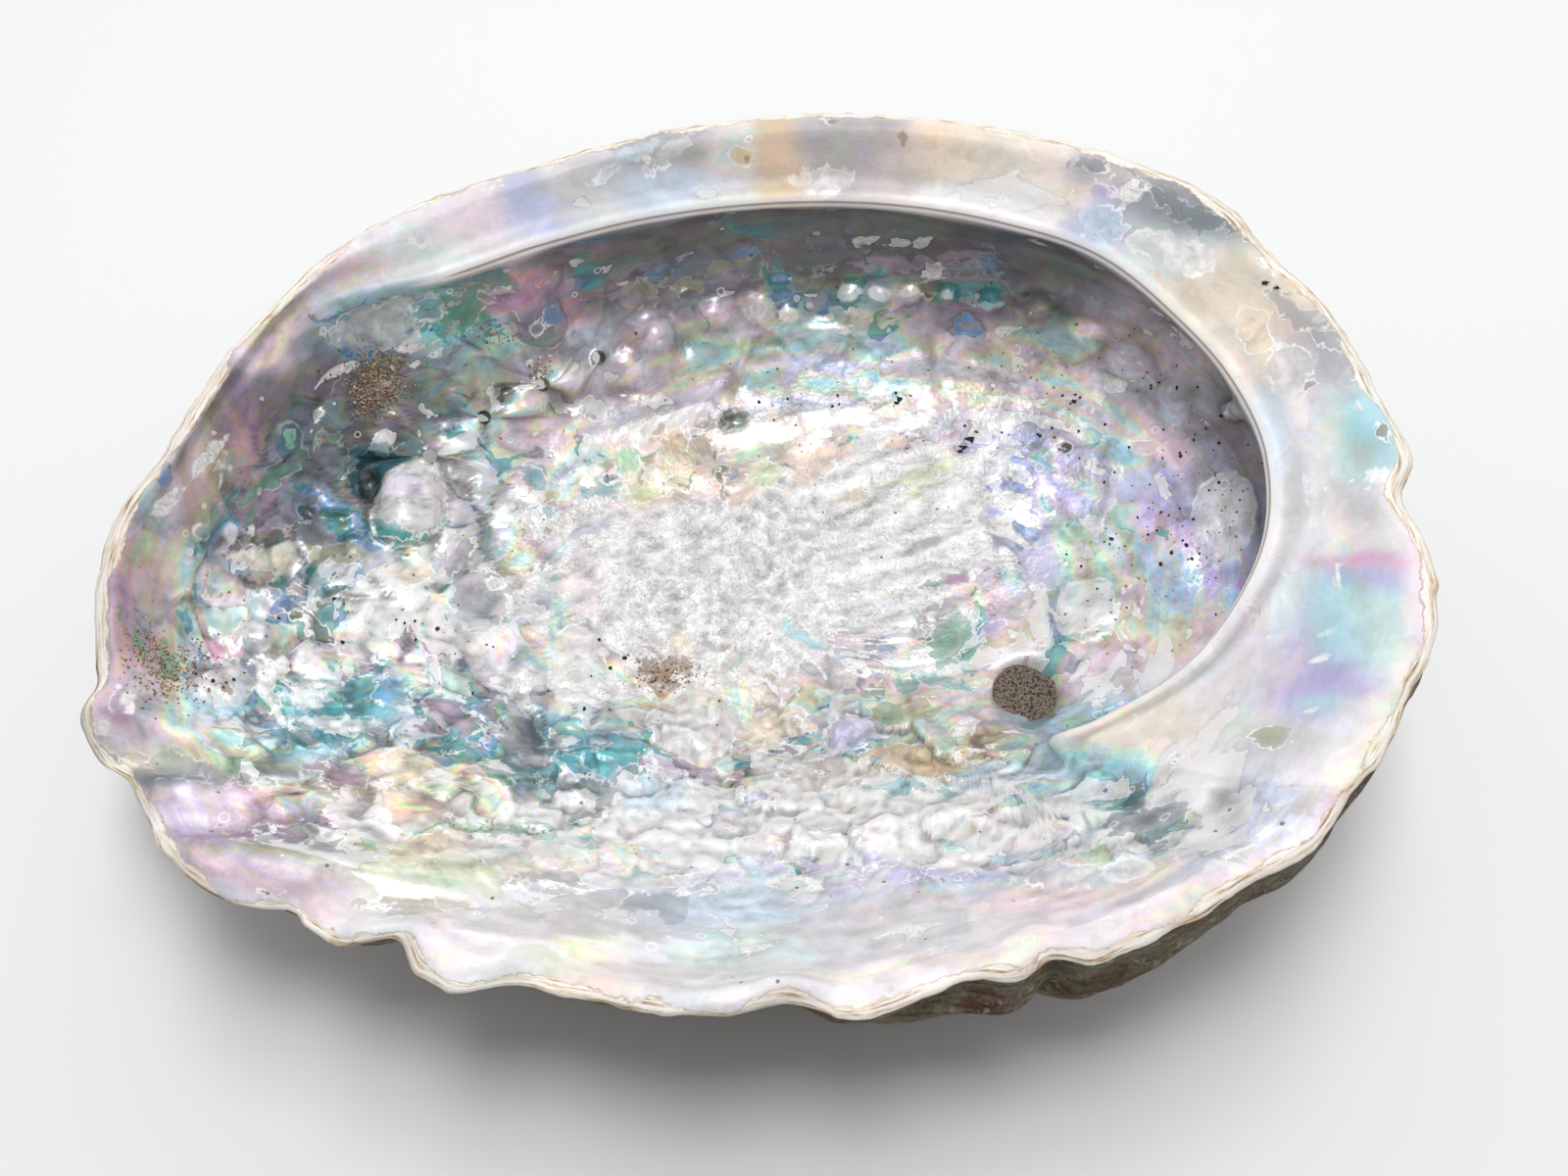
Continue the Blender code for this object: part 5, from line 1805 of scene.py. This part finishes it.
    def crusted_lip(self) -> None:
        """The lip's cream crust, up to 2 mm wide and streaked along it, with a broken brown line inside."""
        add = self.add
        along = add("VectorMath MULTIPLY", self.flow, (0.25, 0.25, 1.0))
        streaks = add("TexNoise", {"Vector": along, "Scale": 0.7, "Detail": 5.0, "Roughness": 0.7})
        waver = add("TexNoise", {"Vector": self.mm, "Scale": 0.12, "Detail": 5.0, "Roughness": 0.6})
        at = add("Math MULTIPLY_ADD", waver, 7.0, self.fields["lip"])
        self.lip = add("MapRange", at, 5.0, 4.5, 0.0, 0.85, interpolation_type="SMOOTHSTEP")
        tones = add(
            "ValToRGB",
            streaks,
            stops=[(0.36, "brown"), (0.42, "tan"), (0.48, "cream"), (0.58, "white"), (0.7, "beige")],
        )
        near = add("Math SUBTRACT", at, 4.75)
        near = add("Math ABSOLUTE", near)
        line = add("MapRange", near, 0.25, 0.05, 0.0, 1.0, interpolation_type="SMOOTHSTEP")
        some = add("MapRange", streaks, 0.45, 0.55, 0.0, 0.5)
        line = add("Math MULTIPLY", line, some)
        colour = add("Mix RGBA", {0: self.lip, 6: self.colour, 7: tones}, out=2)
        self.colour = add("Mix RGBA", {0: line, 6: colour, 7: "brown"}, out=2)


@dataclass(frozen=True)
class Nacre:
    """Nacre, grown in thin layers of aragonite, worn and etched: pastel colours under a wet gloss."""

    name: str = "nacre"
    roughness: float = 0.34
    ior: float = 1.53
    metallic: float = 0.2
    coat: float = 0.5
    coat_roughness: float = 0.12
    pearl_gain: float = 1.5

    def make(self) -> bpy.types.Material:
        """Builds the material: drifting hues, sharp patches, white film, the scar and the crusty lip.

        Returns:
            The material.
        """
        material, add, mm = start_material(self.name)
        layers = NacreLayers(add, mm, self.pearl_gain)
        fields = layers.fields
        layers.hues()
        layers.deepen()
        layers.film()
        layers.chalk()
        layers.lay("mark")
        layers.lay("spot")
        layers.pepper()
        layers.shade()
        layers.crusted_lip()
        rough = add("Math MULTIPLY_ADD", fields["scar"], 1.0, 0.14)
        height = add("Math MULTIPLY", layers.crumbs, rough)
        dull = add("Math MULTIPLY", fields["scar"], 0.15)
        dull = add("Math MULTIPLY_ADD", layers.lip, 0.4, dull)
        shader = {
            "Base Color": layers.colour,
            "Roughness": add("Math ADD", dull, self.roughness, use_clamp=True),
            "IOR": self.ior,
            "Metallic": self.metallic,
            "Coat Weight": self.coat,
            "Coat Roughness": self.coat_roughness,
            "Normal": add("Bump", {"Height": height, "Distance": MM, "Strength": 1.0}),
        }
        add("OutputMaterial", {"Surface": add("BsdfPrincipled", shader)})
        return material


@dataclass(frozen=True)
class Crust:
    """The back's limy crust: dull brown and grey-green in growth lines, with pale chalky spots."""

    roughness: float = 0.88

    def make(self) -> bpy.types.Material:
        """Builds the material from growth lines, blotches, pale crusts and the seam's dark groove.

        Returns:
            The material.
        """
        material, add, mm = start_material("shell_crust")
        growth = add("Attribute", out="Vector", attribute_name="growth")
        seam = add("Attribute", out="Fac", attribute_name="seam")
        lines = add("VectorMath MULTIPLY", growth, (0.12, 0.12, 1.0))
        lines = add("TexNoise", {"Vector": lines, "Scale": 0.35, "Detail": 5.0, "Roughness": 0.7})
        blotch = add("TexNoise", {"Vector": mm, "Scale": 0.07, "Detail": 6.0, "Roughness": 0.65})
        both = add("Mix", {0: 0.5, 2: lines, 3: blotch})
        colour = add(
            "ValToRGB",
            both,
            stops=[
                (0.3, "umber"), (0.4, "brown"), (0.46, "khaki"), (0.5, "olive"), (0.55, "brown"),
                (0.6, "khaki"), (0.68, "taupe"), (0.75, "beige"),
            ],
        )
        spots = add("TexNoise", {"Vector": mm, "Scale": 0.3, "Detail": 7.0, "Roughness": 0.7})
        spots = add("MapRange", spots, 0.56, 0.64, interpolation_type="SMOOTHSTEP")
        spots = add("Math MULTIPLY", spots, 0.6)
        colour = add("Mix RGBA", {0: spots, 6: colour, 7: "beige"}, out=2)
        grain = add("TexNoise", {"Vector": mm, "Scale": 1.2, "Detail": 6.0, "Roughness": 0.75})
        shade = add("MapRange", grain, 0.36, 0.64, 0.3, 1.05)
        colour = add("VectorMath SCALE", {0: colour, "Scale": shade})
        groove = add("MapRange", seam, 0.0, 1.2, 0.45, 1.0)
        colour = add("VectorMath SCALE", {0: colour, "Scale": groove})
        height = add("Math MULTIPLY", grain, 0.9)
        height = add("Math MULTIPLY_ADD", lines, 1.0, height)
        bump = add("Bump", {"Height": height, "Distance": MM, "Strength": 1.0})
        surface = add("BsdfPrincipled", {"Base Color": colour, "Roughness": self.roughness, "Normal": bump})
        add("OutputMaterial", {"Surface": surface})
        return material


@dataclass(frozen=True)
class Grit:
    """Beach sand and dried mud: dull mineral grains, each piece a little different."""

    name: str
    tones: tuple[str, ...]
    scale: float = 0.9
    roughness: float = 0.85

    def make(self) -> bpy.types.Material:
        """Builds the material: the tones cut up by noise finer than a grain.

        Returns:
            The material.
        """
        material, add, mm = start_material(self.name)
        noise = add("TexNoise", {"Vector": mm, "Scale": self.scale, "Detail": 6.0, "Roughness": 0.8})
        width = 0.34 / (len(self.tones) - 1)
        stops = [(0.33 + width * i, tone) for i, tone in enumerate(self.tones)]
        colour = add("ValToRGB", noise, stops=stops)
        bump = add("Bump", {"Height": noise, "Distance": 0.3 * MM, "Strength": 1.0})
        surface = add("BsdfPrincipled", {"Base Color": colour, "Roughness": self.roughness, "Normal": bump})
        add("OutputMaterial", {"Surface": surface})
        return material


def put(name: str, points: Array, faces: list, material: bpy.types.Material) -> bpy.types.Object:
    """Makes a smooth-shaded object that rides with the shell, from points in millimetres and faces.

    Args:
        name: the object's name.
        points: its vertices.
        faces: their numbers, face by face.
        material: its finish.

    Returns:
        The object.
    """
    mesh = bpy.data.meshes.new(name)
    mesh.from_pydata((points * MM).tolist(), [], faces)
    mesh.materials.append(material)
    mesh.polygons.foreach_set("use_smooth", np.ones(len(faces), bool))
    piece = bpy.data.objects.new(name, mesh)
    bpy.context.scene.collection.objects.link(piece)
    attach(piece, "root")
    return piece


@dataclass
class Grains:
    """Many small angular grains lying on the inside, as one mesh of jittered twenty-sided bodies."""

    inside: Inside
    name: str = "sand_grains"
    zones: tuple = tuple(SAND)
    tones: tuple[str, ...] = ("umber", "umber", "brown", "tan", "beige", "taupe")
    seed: int = 7
    sizes: tuple[float, float] = (0.11, 0.3)

    def body(self) -> tuple[Array, Array]:
        """Builds an icosahedron of radius 1 from the golden ratio.

        Returns:
            Its twelve corners and twenty faces.
        """
        g = (1 + math.sqrt(5)) / 2
        corners = np.array([(0, s, t * g) for s in (-1, 1) for t in (-1, 1)], float)
        corners = np.vstack([corners, np.roll(corners, 1, axis=1), np.roll(corners, 2, axis=1)])
        near = np.linalg.norm(corners[:, None] - corners[None], axis=2) < 2.1
        faces = [f for f in itertools.combinations(range(12), 3) if near[np.ix_(f, f)].all()]
        faces = [f if np.linalg.det(corners[list(f)]) > 0 else f[::-1] for f in faces]
        return corners / np.linalg.norm(corners[0]), np.array(faces)

    def build(self) -> bpy.types.Object:
        """Scatters the grains by their zones' weights and makes their mesh.

        Returns:
            The piece.
        """
        random = np.random.default_rng(self.seed)
        data = self.inside
        bowl = data.on(BOWL) * (data.gap > 3)
        chosen = []
        for *ellipse, count in self.zones:
            weight = bowl * np.exp(-2 * reach(data.uv, ellipse) ** 2)
            weight[reach(data.uv, ellipse) > 1.6] = 0
            chosen.append(random.choice(len(weight), size=count, p=weight / weight.sum()))
        at = np.concatenate(chosen)
        corners, faces = self.body()
        size = random.uniform(*self.sizes, len(at)) * random.uniform(0.6, 1.0, len(at))
        shape = corners[None] * random.uniform(0.6, 1.25, (len(at), 12, 1)) * size[:, None, None]
        shape *= random.uniform(0.7, 1.2, (len(at), 1, 3))
        surface = data.points[at] + data.normal[at] * data.relief()[at][:, None]
        drift = random.uniform(-0.35, 0.35, (len(at), 3))
        drift -= data.normal[at] * np.sum(drift * data.normal[at], axis=1, keepdims=True)
        middle = surface + drift + data.normal[at] * (0.35 * size)[:, None]
        points = (middle[:, None] + shape).reshape(-1, 3)
        every = (faces[None] + 12 * np.arange(len(at))[:, None, None]).reshape(-1, 3)
        grit = Grit(self.name, self.tones, scale=2.2)
        return put(self.name, points, every.tolist(), grit.make())


@dataclass
class Specks:
    """Flat black flakes lying in the bowl."""

    inside: Inside
    seed: int = 3
    sides: int = 9

    def build(self) -> bpy.types.Object:
        """Makes each flake as a low jagged dome on the surface, turned its own way.

        Returns:
            The piece.
        """
        random = np.random.default_rng(self.seed)
        data = self.inside
        height = data.relief()
        points, faces = [], []
        for x, y, half in FLAKES:
            away = np.linalg.norm(data.uv - (x, y), axis=1) + 500 * (data.shelf > 0.5) * (y > 300)
            here = int(np.argmin(away))
            normal = data.normal[here]
            side = np.cross(normal, (0.3, 1.0, 0.2))
            side /= np.linalg.norm(side)
            other = np.cross(normal, side)
            angle = np.linspace(0, 2 * np.pi, self.sides, endpoint=False)
            radius = 1.4 * half * random.uniform(0.4, 1.25, self.sides)
            ring = np.outer(np.cos(angle) * radius, side) + np.outer(np.sin(angle) * radius * 0.6, other)
            middle = data.points[here] + normal * height[here]
            base = len(np.vstack(points)) if points else 0
            points += [middle + ring - 0.25 * normal, middle + 0.7 * ring + 0.22 * normal]
            points.append((middle + 0.3 * normal)[None])
            n = self.sides
            for i in range(n):
                j = (i + 1) % n
                faces.append([base + i, base + j, base + n + j, base + n + i])
                faces.append([base + n + i, base + n + j, base + 2 * n])
            faces.append([base + i for i in reversed(range(n))])
        grit = Grit("dark_horn", ("ink", "ink", "umber"), scale=1.5, roughness=0.5)
        return put("dark_specks", np.vstack(points), faces, grit.make())


@dataclass
class SedimentPlug:
    """The plug of dried grey-brown sediment that fills the round pit near the spire."""

    inside: Inside
    pixel: tuple[float, float] = (1048, 705)
    radii: tuple[float, float] = (5.0, 5.6)
    cells: int = 64
    depth: float = 2.2

    def build(self) -> bpy.types.Object:
        """Makes a closed disc whose top is a granular mound and whose underside is sunk in the pit.

        Returns:
            The piece.
        """
        data = self.inside
        away = np.linalg.norm(data.uv - self.pixel, axis=1) + 500 * data.shelf
        gap = np.linalg.norm(data.points - data.points[np.argmin(away)], axis=1)
        around_pit = (gap < 6.0) & (gap > 4.6)
        normal = data.normal[around_pit].mean(axis=0)
        normal /= np.linalg.norm(normal)
        middle = data.points[around_pit].mean(axis=0)
        side = np.cross(normal, (0.0, 1.0, 0.0))
        side /= np.linalg.norm(side)
        other = np.cross(normal, side)
        turn, share = Grid(self.cells).polar()
        wobble = 1 + 0.07 * cloud(np.column_stack([3 * heading(turn), share * 0]), 1.2, 61, 2)
        plan = heading(turn) * (share * wobble)[:, None] * self.radii
        flat = middle + np.outer(plan[:, 0], side) + np.outer(plan[:, 1], other)
        grains = 0.45 * cloud(flat, 0.7, 62, 2) + 0.5 * cloud(flat, 2.6, 63, 2)
        lean = 0.9 * (plan[:, 0] - plan[:, 1]) / self.radii[0]
        top = -0.9 + 0.3 * (1 - share**2) + lean + grains * (1 - share**6)
        points = flat + np.outer(top - 0.7 * share**8, normal)
        rim = share >= 1
        under = flat - np.outer(self.depth * (1 - 0.5 * share**2), normal)
        quads = Grid(self.cells).quads()
        back_index = np.where(rim, np.arange(len(share)), len(share) - 1 + np.cumsum(~rim))
        faces = np.vstack([quads, back_index[quads][:, ::-1]])
        every = np.vstack([points, under[~rim]])
        if np.cross(side, other) @ normal < 0:
            faces = faces[:, ::-1]
        mud = Grit("dried_sediment", ("ink", "umber", "ink", "khaki", "umber", "beige"), scale=2.2)
        return put("sediment_plug", every, faces.tolist(), mud.make())


@dataclass(frozen=True)
class Studio:
    """A plain white table under soft lamps above, behind and beside it, and a sky that darkens downwards.

    Each lamp has a name, a place, a size in metres, watts, and whether glossy surfaces mirror it.
    """

    floor_half: float = 3.0
    floor_white: float = 0.745
    lamps: tuple = (
        ("overhead", (0.0, -0.06, 0.85), 0.24, 3.3, True),
        ("overhead_far", (0.0, 0.2, 0.85), 0.24, 1.8, False),
        ("far_window", (0.1, 0.8, 0.35), 0.6, 1.5, True),
        ("left_window", (-0.85, 0.4, 0.34), 0.9, 1.6, True),
        ("right_window", (0.85, 0.4, 0.34), 0.9, 1.6, True),
    )
    sky: tuple = (
        (0.2, (0.06, 0.05, 0.04)),
        (0.5, (0.1, 0.09, 0.08)),
        (0.75, (0.34, 0.34, 0.34)),
        (1.0, (0.66, 0.68, 0.7)),
    )

    def build(self) -> None:
        """Adds the floor, the sky and the lamps."""
        scene = bpy.context.scene
        scene.view_settings.view_transform = "Standard"
        scene.world = self.make_sky()
        half = self.floor_half
        mesh = bpy.data.meshes.new("floor")
        corners = [(-half, -half, 0), (half, -half, 0), (half, half, 0), (-half, half, 0)]
        mesh.from_pydata(corners, [], [(0, 1, 2, 3)])
        material = bpy.data.materials.new("white_table")
        material.use_nodes = True
        shader = material.node_tree.nodes["Principled BSDF"]
        shader.inputs["Base Color"].default_value = (*[self.floor_white] * 3, 1)
        shader.inputs["Roughness"].default_value = 0.7
        shader.inputs["Specular IOR Level"].default_value = 0.2
        mesh.materials.append(material)
        floor = bpy.data.objects.new("floor", mesh)
        scene.collection.objects.link(floor)
        for lamp in self.lamps:
            self.lamp(*lamp)

    def make_sky(self) -> bpy.types.World:
        """A sky whose brightness follows the height of the direction, brightest overhead and behind.

        Returns:
            The world.
        """
        world = bpy.data.worlds.new("studio")
        world.use_nodes = True
        world.node_tree.nodes.clear()
        add = Nodes(world.node_tree)
        direction = add("TexCoord", out="Generated")
        lean = add("VectorMath DOT_PRODUCT", direction, (0.0, 0.3, 0.95), out=1)
        height = add("MapRange", lean, -1.0, 1.0)
        glow = add("ValToRGB", height, stops=list(self.sky))
        light = add("Background", {"Color": glow, "Strength": 1.0})
        add("OutputWorld", {"Surface": light})
        return world

    def lamp(
        self, name: str, place: tuple[float, float, float], size: float, watts: float, mirrored: bool
    ) -> None:
        """Adds a square soft light that faces the shell, and that glossy surfaces mirror or don't.

        Args:
            name: the lamp's name.
            place: its place in metres.
            size: its side in metres.
            watts: its power.
            mirrored: whether glossy surfaces mirror it.
        """
        light = bpy.data.lights.new(name, "AREA")
        light.size = size
        light.energy = watts
        lamp = bpy.data.objects.new(name, light)
        lamp.location = place
        lamp.visible_glossy = mirrored
        lamp.rotation_euler = (Vector((0, 0, 0.03)) - Vector(place)).to_track_quat("-Z", "Y").to_euler()
        bpy.context.scene.collection.objects.link(lamp)


def main() -> None:
    """Builds the shell and what has caught in it, in order, and the studio round it."""
    logging.basicConfig(level=logging.INFO, format="%(name)s: %(message)s")
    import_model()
    view = Viewpoint()
    shell = AbaloneShell(ShellForm(), view)
    pieces = [shell.build()]
    pieces.append(SedimentPlug(shell.inside).build())
    pieces.append(Grains(shell.inside).build())
    horn = ("ink", "ink", "umber", "brown")
    pieces.append(Grains(shell.inside, "dark_crumbs", tuple(CRUMBS), horn, 9, (0.14, 0.46)).build())
    pieces.append(Specks(shell.inside).build())
    for piece in pieces:
        log.info("%s: %d faces", piece.name, len(piece.data.polygons))
    view.make_camera()
    Studio().build()


if __name__ == "__main__":
    main()
